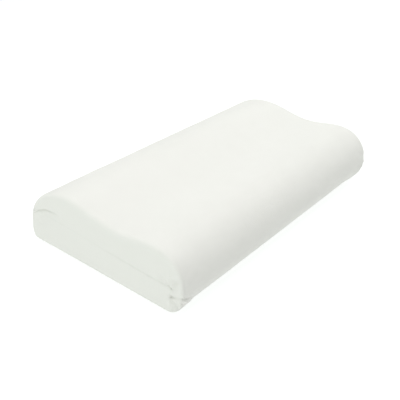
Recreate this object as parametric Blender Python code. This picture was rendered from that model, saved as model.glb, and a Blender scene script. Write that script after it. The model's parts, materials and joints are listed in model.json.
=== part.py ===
"""Contour bed pillow: moulded foam core, knitted liner, and a fitted zip-off cover.

Metres, +Z up. The origin is on the underside, at the middle of the pillow's length and width.
+X runs along the pillow, the low roll faces -Y, and the high roll and the zip face +Y.
"""

import math

import bmesh
import bpy
from mathutils import Matrix, Vector

# Overall size, measured over the cover
LENGTH = 0.600
WIDTH = 0.360

# Cross-section across the width
LOW_ROLL_HEIGHT = 0.117
LOW_ROLL_CREST_IN = 0.066
LOW_ROLL_WIDEST_AT = 0.053
LOW_ROLL_UNDERCUT = 0.036
HOLLOW_HEIGHT = 0.110
HOLLOW_TO_LOW_CREST = 0.066
HIGH_ROLL_HEIGHT = 0.129
HIGH_ROLL_CREST_IN = 0.106
HIGH_ROLL_WIDEST_AT = 0.040
BACK_WALL_STARTS_AT = 0.028
BACK_UNDERCUT = 0.022
CURVE_STEPS = 10
BELOW_ZIP_STEPS = 4
ABOVE_ZIP_STEPS = 9
EASE_STEPS = 6

# Rounding where the cross-section turns into the two flat ends
END_EDGE_RADIUS = 0.009
END_CORNER_RADIUS = 0.017
END_STEPS = 4
SMALLEST_RADIUS = 0.002

# Layers, from the outside in
COVER_THICK = 0.0012
LINER_THICK = 0.0005
GAP = 0.0003
ZIP_ROOM = 0.0028
ZIP_ROOM_FULL_FROM = 0.7

# Sewn seams: a thread lies in a slit with a gap on each side
THREAD_WIDTH = 0.0006
END_SEAM_FRONT_HEIGHT = 0.054
END_SEAM_BACK_HEIGHT = 0.073
FRONT_SEAM_IN = 0.026
BACK_SEAM_IN = 0.036
CORNER_SEAM_BOTTOM = 0.028
CORNER_SEAM_TOP = 0.084
SLIT_OVERRUN = 0.001
LINER_SEAM_MARGIN = 0.012

# Zip along the back, at the height where the end seams arrive
ZIP_HEIGHT = END_SEAM_BACK_HEIGHT
SLOT_LENGTH = 0.500
SLOT_WIDTH = 0.013
FLAT_PAST_SLOT = 0.0015
TAPE_WIDTH = 0.0145
TAPE_THICK = 0.0005
TAPE_PAST_SLOT = 0.012
TAPE_FROM_MIDDLE = 0.0013
COIL_WIDTH = 0.0026
COIL_THICK = 0.0016
COIL_BEND_LENGTH = 0.004
STITCH_IN = 0.0025
STITCH_WIDTH = 0.0006
STITCH_THICK = 0.0004

# Slider, with its pull on a bail
SLIDER_LENGTH = 0.011
SLIDER_WIDTH = 0.0094
SLIDER_LOWER_PLATE = 0.0008
SLIDER_UPPER_PLATE = 0.0009
SLIDER_FLANGE_THICK = 0.0011
SLIDER_CHAMFER = 0.0018
SLIDER_DIVIDER_WIDTH = 0.0018
SLIDER_DIVIDER_LENGTH = 0.0035
SLIDER_FROM_SLOT_END = 0.018
BAIL_LENGTH = 0.0074
BAIL_WIDTH = 0.0016
BAIL_BAR = 0.0008
BAIL_OPENING = 0.0014
PULL_BAR_RADIUS = 0.0005
PULL_WINDOW_LENGTH = 0.0052
PULL_WINDOW_WIDTH = 0.0030
PULL_NECK_WIDTH = 0.0052
PULL_TAB_WIDTH = 0.0072
PULL_LENGTH = 0.026
PULL_THICK = 0.0009

# Stops at the two ends of the coils
STOP_LENGTH = 0.0035
STOP_WIDTH = 0.0030
STOP_FROM_SLIDER = 0.0006
STOP_WALL = 0.0008
STOP_INNER_FACE = 0.00045
BOTTOM_STOP_LENGTH = 0.005
BOTTOM_STOP_FROM_SLOT_END = 0.006

# Blank care label, sewn into the end seam at +X
LABEL_WIDTH = 0.024
LABEL_DROP = 0.038
LABEL_THICK = 0.0004
LABEL_BEHIND_MIDDLE = 0.040

SLIT_WIDTH = THREAD_WIDTH + 2 * GAP

WHITE_KNIT = ("white_knit", (0.90, 0.91, 0.86), 0.85, 0.0)
LINER_KNIT = ("liner_knit", (0.86, 0.86, 0.84), 0.90, 0.0)
FOAM = ("foam", (0.90, 0.87, 0.74), 0.95, 0.0)
SEWING_THREAD = ("sewing_thread", (0.84, 0.85, 0.80), 0.60, 0.0)
ZIP_TAPE = ("zip_tape", (0.86, 0.87, 0.83), 0.80, 0.0)
ZIP_COIL = ("zip_coil", (0.88, 0.89, 0.86), 0.40, 0.0)
ENAMELLED_METAL = ("enamelled_metal", (0.86, 0.87, 0.85), 0.30, 0.6)
LABEL_SATIN = ("label_satin", (0.93, 0.93, 0.92), 0.35, 0.0)


def clear_scene():
    for obj in list(bpy.data.objects):
        bpy.data.objects.remove(obj, do_unlink=True)


def material(recipe):
    name, colour, roughness, metallic = recipe
    made = bpy.data.materials.get(name)
    if made is None:
        made = bpy.data.materials.new(name)
        made.use_nodes = True
        shader = made.node_tree.nodes["Principled BSDF"]
        shader.inputs["Base Color"].default_value = (*colour, 1.0)
        shader.inputs["Roughness"].default_value = roughness
        shader.inputs["Metallic"].default_value = metallic
        made.diffuse_color = (*colour, 1.0)
    return made


def new_object(name, mesh_data, recipe=None):
    """Link a finished bmesh as a named object with outward normals."""
    bmesh.ops.recalc_face_normals(mesh_data, faces=mesh_data.faces)
    mesh = bpy.data.meshes.new(name)
    mesh_data.to_mesh(mesh)
    mesh_data.free()
    obj = bpy.data.objects.new(name, mesh)
    bpy.context.scene.collection.objects.link(obj)
    if recipe is not None:
        mesh.materials.append(material(recipe))
    return obj


def as_cutter(obj):
    obj.hide_render = True
    obj.display_type = "WIRE"
    return obj


def boolean(target, other, operation):
    modifier = target.modifiers.new(f"{operation.lower()}_{other.name}", "BOOLEAN")
    modifier.operation = operation
    modifier.solver = "EXACT"
    modifier.object = as_cutter(other)


def smoothstep(value, full_at):
    share = min(max(value / full_at, 0.0), 1.0)
    return share * share * (3 - 2 * share)


# Cross-section


def arc(centre, radii, start_deg, end_deg, steps):
    """Points on an ellipse about centre, anticlockwise seen from +X, with both ends."""
    points = []
    for step in range(steps + 1):
        angle = math.radians(start_deg + (end_deg - start_deg) * step / steps)
        place = (centre[0] + radii[0] * math.cos(angle), centre[1] + radii[1] * math.sin(angle))
        points.append(Vector(place))
    return points


def eased(start, end):
    """Points between two level spots, with no slope at either."""
    points = []
    for step in range(1, EASE_STEPS):
        share = step / EASE_STEPS
        height = end[1] + (start[1] - end[1]) * (1 + math.cos(math.pi * share)) / 2
        points.append(Vector((start[0] + (end[0] - start[0]) * share, height)))
    return points


def flat_for_zip(radii):
    """The two angles on the high roll between which the fabric lies flat along the zip."""
    middle = math.asin((ZIP_HEIGHT - HIGH_ROLL_WIDEST_AT) / radii[1])
    speed = math.hypot(radii[0] * math.sin(middle), radii[1] * math.cos(middle))
    half = math.degrees((SLOT_WIDTH / 2 + FLAT_PAST_SLOT) / speed)
    return math.degrees(middle) - half, math.degrees(middle) + half


def section_outline():
    """The cover's outline in the YZ plane, anticlockwise seen from +X, and where its zip facet starts."""
    front = -WIDTH / 2
    back = WIDTH / 2
    low_crest = (front + LOW_ROLL_CREST_IN, LOW_ROLL_HEIGHT)
    hollow = (low_crest[0] + HOLLOW_TO_LOW_CREST, HOLLOW_HEIGHT)
    high_crest = (back - HIGH_ROLL_CREST_IN, HIGH_ROLL_HEIGHT)
    back_edge = (BACK_UNDERCUT, BACK_WALL_STARTS_AT)
    high_centre = (high_crest[0], HIGH_ROLL_WIDEST_AT)
    high_radii = (HIGH_ROLL_CREST_IN, HIGH_ROLL_HEIGHT - HIGH_ROLL_WIDEST_AT)
    low_centre = (low_crest[0], LOW_ROLL_WIDEST_AT)
    low_radii = (LOW_ROLL_CREST_IN, LOW_ROLL_HEIGHT - LOW_ROLL_WIDEST_AT)
    under_centre = (front + LOW_ROLL_UNDERCUT, LOW_ROLL_WIDEST_AT)
    under_radii = (LOW_ROLL_UNDERCUT, LOW_ROLL_WIDEST_AT)
    flat_start, flat_end = flat_for_zip(high_radii)
    outline = arc((back - BACK_UNDERCUT, BACK_WALL_STARTS_AT), back_edge, 270, 360, CURVE_STEPS)
    outline += arc(high_centre, high_radii, 0, flat_start, BELOW_ZIP_STEPS)
    facet = len(outline) - 1
    outline += arc(high_centre, high_radii, flat_end, 90, ABOVE_ZIP_STEPS)
    outline += eased(high_crest, hollow)
    outline.append(Vector(hollow))
    outline += eased(hollow, low_crest)
    outline += arc(low_centre, low_radii, 90, 180, CURVE_STEPS)
    outline += arc(under_centre, under_radii, 180, 270, CURVE_STEPS)[1:]
    return outline, facet


def offset_directions(outline):
    """For each corner, the outward step that moves both of its sides out by one metre."""
    count = len(outline)
    side_normals = []
    for index in range(count):
        run = outline[(index + 1) % count] - outline[index]
        side_normals.append(Vector((run.y, -run.x)).normalized())
    directions = []
    for index in range(count):
        before = side_normals[index - 1]
        after = side_normals[index]
        directions.append((before + after) / (1 + before.dot(after)))
    return directions


OUTLINE, ZIP_FACET = section_outline()
OUTWARD = offset_directions(OUTLINE)


# Closed pillow forms, one inside the other


def pillow_form(name, depth, zip_room=0.0, recipe=None):
    """The cover's outer shape shrunk by depth on every side, and by zip_room more at the back."""
    rings = []
    ring_angles = [math.pi / 2 * step / END_STEPS for step in range(END_STEPS + 1)]
    stations = [(-1, angle) for angle in reversed(ring_angles)] + [(1, angle) for angle in ring_angles]
    shape = bmesh.new()
    for side, angle in stations:
        ring = []
        for point, outward in zip(OUTLINE, OUTWARD):
            facing = outward.normalized().x
            corner_share = facing**2
            radius = END_EDGE_RADIUS + (END_CORNER_RADIUS - END_EDGE_RADIUS) * corner_share
            radius = max(radius - depth, SMALLEST_RADIUS)
            inset = depth + zip_room * smoothstep(facing, ZIP_ROOM_FULL_FROM)
            inset += radius * (1 - math.cos(angle))
            place = point - outward * inset
            along = LENGTH / 2 - depth - radius * (1 - math.sin(angle))
            ring.append(shape.verts.new((side * along, place.x, place.y)))
        rings.append(ring)
    count = len(OUTLINE)
    for ring, next_ring in zip(rings, rings[1:]):
        for index in range(count):
            after = (index + 1) % count
            shape.faces.new((ring[index], ring[after], next_ring[after], next_ring[index]))
    shape.faces.new(rings[0])
    shape.faces.new(rings[-1])
    form = new_object(name, shape, recipe)
    form.data.shade_smooth()
    form.data.set_sharp_from_angle(angle=math.radians(35))
    return form


def box(name, low, high, recipe=None, matrix=None):
    """A box between two corners, in the frame of matrix."""
    shape = bmesh.new()
    bmesh.ops.create_cube(shape, size=1)
    size = [high[axis] - low[axis] for axis in range(3)]
    middle = [(high[axis] + low[axis]) / 2 for axis in range(3)]
    bmesh.ops.scale(shape, vec=size, verts=shape.verts)
    bmesh.ops.translate(shape, vec=middle, verts=shape.verts)
    obj = new_object(name, shape, recipe)
    if matrix is not None:
        obj.matrix_world = matrix
    return obj


def plate(name, corners, low, high, recipe=None, matrix=None):
    """An outline of (x, z) corners, given a thickness from low to high along y."""
    shape = bmesh.new()
    flat = shape.faces.new([shape.verts.new((x, low, z)) for x, z in corners])
    grown = bmesh.ops.extrude_face_region(shape, geom=[flat])
    moved = [part for part in grown["geom"] if isinstance(part, bmesh.types.BMVert)]
    bmesh.ops.translate(shape, vec=(0, high - low, 0), verts=moved)
    obj = new_object(name, shape, recipe)
    if matrix is not None:
        obj.matrix_world = matrix
    return obj


# Seams


def end_seam_frame(side):
    """A frame in the middle of an end seam, and the seam's length: x along it, y out, z up."""
    front_y = -WIDTH / 2 + FRONT_SEAM_IN
    back_y = WIDTH / 2 - BACK_SEAM_IN
    run = Vector((0, back_y - front_y, END_SEAM_BACK_HEIGHT - END_SEAM_FRONT_HEIGHT))
    mid_height = (END_SEAM_FRONT_HEIGHT + END_SEAM_BACK_HEIGHT) / 2
    out = Vector((side, 0, 0))
    along = run.normalized() * -side
    frame = Matrix((along, out, along.cross(out))).transposed().to_4x4()
    frame.translation = Vector((side * LENGTH / 2, (front_y + back_y) / 2, mid_height))
    return frame, run.length


def sewn_end_seam(name, side, cover):
    """A slit along the end face of the cover, and the thread that closes it."""
    frame, length = end_seam_frame(side)
    half = length / 2 - THREAD_WIDTH / 2 - GAP
    slit = box(
        f"{name}_slit",
        (-length / 2, -COVER_THICK - SLIT_OVERRUN, -SLIT_WIDTH / 2),
        (length / 2, SLIT_OVERRUN, SLIT_WIDTH / 2),
        matrix=frame,
    )
    boolean(cover, slit, "DIFFERENCE")
    box(
        name,
        (-half, -COVER_THICK, -THREAD_WIDTH / 2),
        (half, 0, THREAD_WIDTH / 2),
        SEWING_THREAD,
        frame,
    )


def sewn_corner_seam(name, side, y, cover):
    """A short upright slit that boxes one corner of the cover, and its thread."""
    face = side * LENGTH / 2
    inner = face - side * (COVER_THICK + SLIT_OVERRUN)
    outer = face + side * SLIT_OVERRUN
    slit = box(
        f"{name}_slit",
        (min(inner, outer), y - SLIT_WIDTH / 2, CORNER_SEAM_BOTTOM),
        (max(inner, outer), y + SLIT_WIDTH / 2, CORNER_SEAM_TOP),
    )
    boolean(cover, slit, "DIFFERENCE")
    wall = face - side * COVER_THICK
    box(
        name,
        (min(wall, face), y - THREAD_WIDTH / 2, CORNER_SEAM_BOTTOM + GAP),
        (max(wall, face), y + THREAD_WIDTH / 2, CORNER_SEAM_TOP - GAP),
        SEWING_THREAD,
    )


# The frame of the zip: x along the pillow, y out of the fabric, z up across the zip

ZIP_FACET_SIDE = OUTLINE[ZIP_FACET + 1] - OUTLINE[ZIP_FACET]
ZIP_MIDDLE = (OUTLINE[ZIP_FACET + 1] + OUTLINE[ZIP_FACET]) / 2
ZIP_TILT = math.atan2(-ZIP_FACET_SIDE.x, ZIP_FACET_SIDE.y)
ZIP_FRAME = Matrix.Translation((0, *ZIP_MIDDLE)) @ Matrix.Rotation(ZIP_TILT, 4, "X")

TAPE_OUTER = -COVER_THICK - GAP
TAPE_INNER = TAPE_OUTER - TAPE_THICK
COIL_INNER = TAPE_OUTER + GAP
COIL_OUTER = COIL_INNER + COIL_THICK
SLIDER_REST_X = SLOT_LENGTH / 2 - SLIDER_FROM_SLOT_END
STOP_START_X = SLIDER_REST_X + SLIDER_LENGTH / 2 + STOP_FROM_SLIDER
BOTTOM_STOP_X = -SLOT_LENGTH / 2 + BOTTOM_STOP_FROM_SLOT_END
COIL_FROM_MIDDLE = GAP / 2
COIL_SPREAD = SLIDER_DIVIDER_WIDTH / 2 + GAP


def outline_distances():
    """How far each corner of the outline lies from the zip's middle, going up the back."""
    distances = [-ZIP_FACET_SIDE.length / 2]
    for index in range(ZIP_FACET, 0, -1):
        distances.insert(0, distances[0] - (OUTLINE[index] - OUTLINE[index - 1]).length)
    for index in range(ZIP_FACET, len(OUTLINE) - 1):
        distances.append(distances[-1] + (OUTLINE[index + 1] - OUTLINE[index]).length)
    return distances


DISTANCES = outline_distances()


def on_outline(distance, out):
    """The point this far up the back from the zip's middle and this far out of the cover."""
    after = next(index for index, reached in enumerate(DISTANCES) if reached > distance)
    share = (distance - DISTANCES[after - 1]) / (DISTANCES[after] - DISTANCES[after - 1])
    start = OUTLINE[after - 1] + OUTWARD[after - 1] * out
    end = OUTLINE[after] + OUTWARD[after] * out
    return start.lerp(end, share)


def curved_strip(name, half_length, near, far, inner, outer, recipe):
    """A strip along X that bends with the back: near to far across it, inner to outer through it."""
    low, high = min(near, far), max(near, far)
    across = [low] + [reached for reached in DISTANCES if low < reached < high] + [high]
    ring = [on_outline(distance, outer) for distance in across]
    ring += [on_outline(distance, inner) for distance in reversed(across)]
    shape = bmesh.new()
    first = [shape.verts.new((-half_length, *point)) for point in ring]
    last = [shape.verts.new((half_length, *point)) for point in ring]
    count = len(ring)
    for index in range(count):
        after = (index + 1) % count
        shape.faces.new((first[index], first[after], last[after], last[index]))
    for step in range(len(across) - 1):
        mirror = count - 1 - step
        for end in (first, last):
            shape.faces.new((end[step], end[step + 1], end[mirror - 1], end[mirror]))
    return new_object(name, shape, recipe)


def zip_tapes_and_stitches():
    reach = SLOT_LENGTH / 2 + TAPE_PAST_SLOT
    stitch_near = SLOT_WIDTH / 2 + STITCH_IN
    for name, side in (("upper", 1), ("lower", -1)):
        curved_strip(
            f"zip_tape_{name}",
            reach,
            side * TAPE_FROM_MIDDLE,
            side * (TAPE_FROM_MIDDLE + TAPE_WIDTH),
            TAPE_INNER,
            TAPE_OUTER,
            ZIP_TAPE,
        )
        curved_strip(
            f"zip_stitch_{name}",
            reach - STITCH_IN,
            side * stitch_near,
            side * (stitch_near + STITCH_WIDTH),
            GAP,
            GAP + STITCH_THICK,
            SEWING_THREAD,
        )


def zip_coils():
    """Each coil is a strip that lies along the middle and bends out round the slider's divider."""
    start = BOTTOM_STOP_X + BOTTOM_STOP_LENGTH / 2 + GAP
    divider_back = SLIDER_REST_X + SLIDER_LENGTH / 2 - SLIDER_CHAMFER - SLIDER_DIVIDER_LENGTH
    bend_end = divider_back - GAP
    bend_start = bend_end - COIL_BEND_LENGTH
    end = STOP_START_X - GAP
    for name, side in (("upper", 1), ("lower", -1)):
        near = COIL_FROM_MIDDLE
        far = near + COIL_WIDTH
        shift = COIL_SPREAD - near
        corners = [
            (start, side * near),
            (bend_start, side * near),
            (bend_end, side * (near + shift)),
            (end, side * (near + shift)),
            (end, side * (far + shift / 2)),
            (bend_end, side * (far + shift / 2)),
            (bend_start, side * far),
            (start, side * far),
        ]
        plate(f"zip_coil_{name}", corners, COIL_INNER, COIL_OUTER, ZIP_COIL, ZIP_FRAME)


def zip_stops():
    """Two C-shaped clamps end the coils past the slider, and one bridge joins the tapes at the far end."""
    bottom = TAPE_INNER - GAP - STOP_WALL
    top = COIL_OUTER
    for name, side in (("upper", 1), ("lower", -1)):
        inner = side * STOP_INNER_FACE
        outer = side * (STOP_INNER_FACE + STOP_WIDTH)
        edge = side * (TAPE_FROM_MIDDLE - GAP)
        clamp = [
            (inner, bottom),
            (outer, bottom),
            (outer, TAPE_INNER - GAP),
            (edge, TAPE_INNER - GAP),
            (edge, TAPE_OUTER + GAP),
            (outer, TAPE_OUTER + GAP),
            (outer, top),
            (inner, top),
        ]
        section_solid(f"zip_top_stop_{name}", clamp, STOP_START_X, STOP_START_X + STOP_LENGTH)
    web = TAPE_FROM_MIDDLE - GAP
    reach = STOP_INNER_FACE + STOP_WIDTH
    half = [
        (reach, bottom),
        (reach, TAPE_INNER - GAP),
        (web, TAPE_INNER - GAP),
        (web, TAPE_OUTER + GAP),
        (reach, TAPE_OUTER + GAP),
        (reach, top),
    ]
    bridge = half + [(-z, y) for z, y in reversed(half)]
    start = BOTTOM_STOP_X - BOTTOM_STOP_LENGTH / 2
    section_solid("zip_bottom_stop", bridge, start, start + BOTTOM_STOP_LENGTH)


def section_solid(name, corners, start_x, end_x):
    """A (z, y) outline in the zip's frame, extruded along x."""
    shape = bmesh.new()
    flat = shape.faces.new([shape.verts.new((start_x, y, z)) for z, y in corners])
    grown = bmesh.ops.extrude_face_region(shape, geom=[flat])
    moved = [part for part in grown["geom"] if isinstance(part, bmesh.types.BMVert)]
    bmesh.ops.translate(shape, vec=(end_x - start_x, 0, 0), verts=moved)
    obj = new_object(name, shape, ENAMELLED_METAL)
    obj.matrix_world = ZIP_FRAME
    return obj


def slider_plate_outline():
    """A rectangle whose two front corners are cut back where the coils enter."""
    half_length = SLIDER_LENGTH / 2
    half_width = SLIDER_WIDTH / 2
    return [
        (-half_length, -half_width),
        (half_length - SLIDER_CHAMFER, -half_width),
        (half_length, -half_width + SLIDER_CHAMFER),
        (half_length, half_width - SLIDER_CHAMFER),
        (half_length - SLIDER_CHAMFER, half_width),
        (-half_length, half_width),
    ]


LOWER_PLATE_TOP = TAPE_INNER - GAP
LOWER_PLATE_BOTTOM = LOWER_PLATE_TOP - SLIDER_LOWER_PLATE
UPPER_PLATE_BOTTOM = COIL_OUTER + GAP
UPPER_PLATE_TOP = UPPER_PLATE_BOTTOM + SLIDER_UPPER_PLATE
PIVOT_OUT = UPPER_PLATE_TOP + BAIL_OPENING / 2
UNION_OVERLAP = 0.0001


def zip_slider():
    """Two plates held apart by a divider, flanges over the tapes, and a bail for the pull."""
    frame = ZIP_FRAME @ Matrix.Translation((SLIDER_REST_X, 0, 0))
    outline = slider_plate_outline()
    slider = plate("zip_slider", outline, LOWER_PLATE_BOTTOM, LOWER_PLATE_TOP, ENAMELLED_METAL, frame)
    upper = plate("slider_upper_plate", outline, UPPER_PLATE_BOTTOM, UPPER_PLATE_TOP, None, frame)
    front = SLIDER_LENGTH / 2 - SLIDER_CHAMFER
    back = front - SLIDER_DIVIDER_LENGTH
    half = SLIDER_DIVIDER_WIDTH / 2
    middle = (front + back) / 2
    divider = plate(
        "slider_divider",
        [(back, 0), (middle, -half), (front, -half), (front, half), (middle, half)],
        LOWER_PLATE_TOP - UNION_OVERLAP,
        UPPER_PLATE_BOTTOM + UNION_OVERLAP,
        None,
        frame,
    )
    pieces = [upper, divider]
    for name, side in (("upper", 1), ("lower", -1)):
        outer = side * SLIDER_WIDTH / 2
        inner = side * (SLIDER_WIDTH / 2 - SLIDER_FLANGE_THICK)
        pieces.append(
            box(
                f"slider_flange_{name}",
                (-SLIDER_LENGTH / 2, TAPE_OUTER + GAP, min(inner, outer)),
                (front, UPPER_PLATE_BOTTOM + UNION_OVERLAP, max(inner, outer)),
                None,
                frame,
            )
        )
    reach = BAIL_LENGTH / 2
    foot = UPPER_PLATE_TOP - UNION_OVERLAP
    under = UPPER_PLATE_TOP + BAIL_OPENING
    over = under + BAIL_BAR
    arch = bmesh.new()
    corners = [
        (-reach, foot),
        (-reach, under),
        (-reach + BAIL_BAR, over),
        (reach - BAIL_BAR, over),
        (reach, under),
        (reach, foot),
        (reach - BAIL_BAR, foot),
        (reach - BAIL_BAR, under),
        (-reach + BAIL_BAR, under),
        (-reach + BAIL_BAR, foot),
    ]
    flat = arch.faces.new([arch.verts.new((x, y, -BAIL_WIDTH / 2)) for x, y in corners])
    grown = bmesh.ops.extrude_face_region(arch, geom=[flat])
    moved = [part for part in grown["geom"] if isinstance(part, bmesh.types.BMVert)]
    bmesh.ops.translate(arch, vec=(0, 0, BAIL_WIDTH), verts=moved)
    bail = new_object("slider_bail", arch)
    bail.matrix_world = frame
    pieces.append(bail)
    for piece in pieces:
        boolean(slider, piece, "UNION")


def zip_pull():
    """A flat tab whose round bar turns inside the bail; the object's origin is on that axis."""
    frame = ZIP_FRAME @ Matrix.Translation((SLIDER_REST_X, PIVOT_OUT, 0))
    half_window = PULL_WINDOW_WIDTH / 2
    half_neck = PULL_NECK_WIDTH / 2
    half_tab = PULL_TAB_WIDTH / 2
    neck_end = -PULL_WINDOW_LENGTH - PULL_BAR_RADIUS
    corners = [
        (0, -half_neck),
        (0, half_neck),
        (neck_end, half_neck),
        (neck_end - half_tab, half_tab),
        (-PULL_LENGTH + half_tab / 2, half_tab),
        (-PULL_LENGTH, half_tab / 2),
        (-PULL_LENGTH, -half_tab / 2),
        (-PULL_LENGTH + half_tab / 2, -half_tab),
        (neck_end - half_tab, -half_tab),
        (neck_end, -half_neck),
    ]
    pull = plate("zip_pull", corners, -PULL_THICK / 2, PULL_THICK / 2, ENAMELLED_METAL, frame)
    window = box(
        "pull_window",
        (-PULL_WINDOW_LENGTH, -PULL_THICK, -half_window),
        (PULL_THICK, PULL_THICK, half_window),
        None,
        frame,
    )
    boolean(pull, window, "DIFFERENCE")
    shape = bmesh.new()
    bmesh.ops.create_cone(
        shape,
        cap_ends=True,
        segments=12,
        radius1=PULL_BAR_RADIUS,
        radius2=PULL_BAR_RADIUS,
        depth=PULL_NECK_WIDTH,
    )
    bar = new_object("pull_bar", shape)
    bar.matrix_world = frame
    boolean(pull, bar, "UNION")


def care_label():
    """A blank folded label that hangs from the end seam at +X, on the outside of the cover."""
    frame, _ = end_seam_frame(1)
    centre = -LABEL_BEHIND_MIDDLE
    box(
        "care_label",
        (centre - LABEL_WIDTH / 2, GAP, -SLIT_WIDTH / 2 - LABEL_DROP),
        (centre + LABEL_WIDTH / 2, GAP + LABEL_THICK, -SLIT_WIDTH / 2),
        LABEL_SATIN,
        frame,
    )


def cover():
    """One piece of knit round the core, open at the seams and behind the zip."""
    wrap = pillow_form("cover_wrap", 0.0, recipe=WHITE_KNIT)
    boolean(wrap, pillow_form("cover_inside", COVER_THICK), "DIFFERENCE")
    for side, name in ((-1, "left"), (1, "right")):
        sewn_end_seam(f"end_seam_{name}", side, wrap)
        sewn_corner_seam(f"corner_seam_front_{name}", side, -WIDTH / 2 + FRONT_SEAM_IN, wrap)
        sewn_corner_seam(f"corner_seam_back_{name}", side, WIDTH / 2 - BACK_SEAM_IN, wrap)
    slot = box(
        "zip_slot",
        (-SLOT_LENGTH / 2, -COVER_THICK - SLIT_OVERRUN, -SLOT_WIDTH / 2),
        (SLOT_LENGTH / 2, SLIT_OVERRUN, SLOT_WIDTH / 2),
        matrix=ZIP_FRAME,
    )
    boolean(wrap, slot, "DIFFERENCE")


def liner_and_core():
    """A thin tube of stockinette, sewn across both ends, round the moulded foam."""
    liner_depth = COVER_THICK + GAP
    liner = pillow_form("liner_sleeve", liner_depth, ZIP_ROOM, LINER_KNIT)
    inside = pillow_form("liner_inside", liner_depth + LINER_THICK, ZIP_ROOM)
    boolean(liner, inside, "DIFFERENCE")
    for side, name in ((-1, "left"), (1, "right")):
        frame, length = end_seam_frame(side)
        face = -liner_depth
        slit_half = length / 2 - LINER_SEAM_MARGIN
        slit = box(
            f"liner_seam_{name}_slit",
            (-slit_half, face - LINER_THICK - GAP / 2, -SLIT_WIDTH / 2),
            (slit_half, face + GAP / 2, SLIT_WIDTH / 2),
            matrix=frame,
        )
        boolean(liner, slit, "DIFFERENCE")
        box(
            f"liner_seam_{name}",
            (-slit_half + GAP, face - LINER_THICK, -THREAD_WIDTH / 2),
            (slit_half - GAP, face, THREAD_WIDTH / 2),
            SEWING_THREAD,
            frame,
        )
    pillow_form("foam_core", liner_depth + LINER_THICK + GAP, ZIP_ROOM, FOAM)


def build():
    clear_scene()
    cover()
    liner_and_core()
    zip_tapes_and_stitches()
    zip_coils()
    zip_stops()
    zip_slider()
    zip_pull()
    care_label()


build()
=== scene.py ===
import json
import math

import bmesh
import bpy
import numpy as np
from mathutils import Matrix, Vector
from mathutils.bvhtree import BVHTree


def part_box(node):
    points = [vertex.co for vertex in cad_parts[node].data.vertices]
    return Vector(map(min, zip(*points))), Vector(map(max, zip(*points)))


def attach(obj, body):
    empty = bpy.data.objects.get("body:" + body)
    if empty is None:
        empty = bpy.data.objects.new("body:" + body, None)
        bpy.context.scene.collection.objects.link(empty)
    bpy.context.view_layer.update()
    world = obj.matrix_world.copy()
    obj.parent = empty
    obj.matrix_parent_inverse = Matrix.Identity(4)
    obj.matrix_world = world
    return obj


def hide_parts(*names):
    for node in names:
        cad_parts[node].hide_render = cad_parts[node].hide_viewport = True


# A contour bed pillow: foam core, liner, fitted knit cover with sewn corners, and a zip along the back.
# Metres, +X along the pillow, the low roll faces -Y, the high roll and the zip face +Y.

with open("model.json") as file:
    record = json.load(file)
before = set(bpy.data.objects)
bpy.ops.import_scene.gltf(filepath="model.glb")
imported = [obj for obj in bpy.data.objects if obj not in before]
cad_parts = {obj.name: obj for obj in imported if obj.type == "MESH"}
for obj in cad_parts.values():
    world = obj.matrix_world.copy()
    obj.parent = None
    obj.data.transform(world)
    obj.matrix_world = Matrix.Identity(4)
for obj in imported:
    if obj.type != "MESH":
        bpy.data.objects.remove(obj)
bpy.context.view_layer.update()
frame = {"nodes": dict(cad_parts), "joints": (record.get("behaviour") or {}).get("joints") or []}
scene = bpy.context.scene


# camera first: a three-quarter view from the low roll's left end

cameraSettings = {
    "azimuth": -51.01,
    "elevation": 29.26,
    "distance": 1.1936,
    "lens": 54.54,
    "aimHeight": 0.05,
    "aimRight": -0.0241,
    "aimUp": -0.0268,
}


def makeCamera(settings):
    azimuth = math.radians(settings["azimuth"])
    elevation = math.radians(settings["elevation"])
    level = math.cos(elevation)
    back = Vector((math.sin(azimuth) * level, -math.cos(azimuth) * level, math.sin(elevation)))
    right = Vector((0, 0, 1)).cross(back).normalized()
    up = back.cross(right)
    aim = Vector((0, 0, settings["aimHeight"]))
    aim += right * settings["aimRight"] + up * settings["aimUp"]
    data = bpy.data.cameras.new("viewCamera")
    data.lens = settings["lens"]
    data.sensor_width = 36
    data.clip_start = 0.01
    camera = bpy.data.objects.new("viewCamera", data)
    turned = Matrix((right, up, back)).transposed().to_4x4()
    turned.translation = aim + back * settings["distance"]
    camera.matrix_world = turned
    scene.collection.objects.link(camera)
    scene.camera = camera


makeCamera(cameraSettings)
print("camera placed")


# places that the frame gives

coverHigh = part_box("cover_wrap")[1]
halfLength = coverHigh.x
halfWidth = coverHigh.y
joints = {joint["name"]: joint for joint in frame["joints"]}
pivot = Vector(joints["pull_swing"]["pos_m"])
zipUp = -Vector(joints["pull_swing"]["axis"]).normalized()
zipOut = Vector((0, zipUp.z, -zipUp.y))
zipTurn = Matrix((Vector((1, 0, 0)), zipOut, zipUp)).transposed()


def zipPoints(node):
    # a node's corners in the zip's own axes (along, out, up), measured from the pull's pivot
    corners = np.array([vertex.co for vertex in frame["nodes"][node].data.vertices])
    return (corners - np.array(pivot)) @ np.array(zipTurn)


tapeHigh = zipPoints("zip_tape_upper").max(axis=0)
coverWall = 0.0012
clearGap = 0.0003
fabricOut = tapeHigh[1] + coverWall + clearGap  # the cover's outer face at the zip, from the pivot
zipMiddle = pivot + zipOut * fabricOut
frontSeam = sum(corner.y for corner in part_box("corner_seam_front_left")) / 2
backSeam = sum(corner.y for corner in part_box("corner_seam_back_left")) / 2
cornerSeamLow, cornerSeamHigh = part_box("corner_seam_front_left")
endSeamLow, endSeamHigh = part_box("end_seam_left")
tapePastSlot = 0.012
slotHalf = tapeHigh[0] + pivot.x - tapePastSlot
slotWidth = 0.013
stitchRowUp = zipPoints("zip_stitch_upper")[:, 2].mean()


# node trees: a number on its way through a tree is a Wire, and an expression on it adds Math nodes


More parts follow.
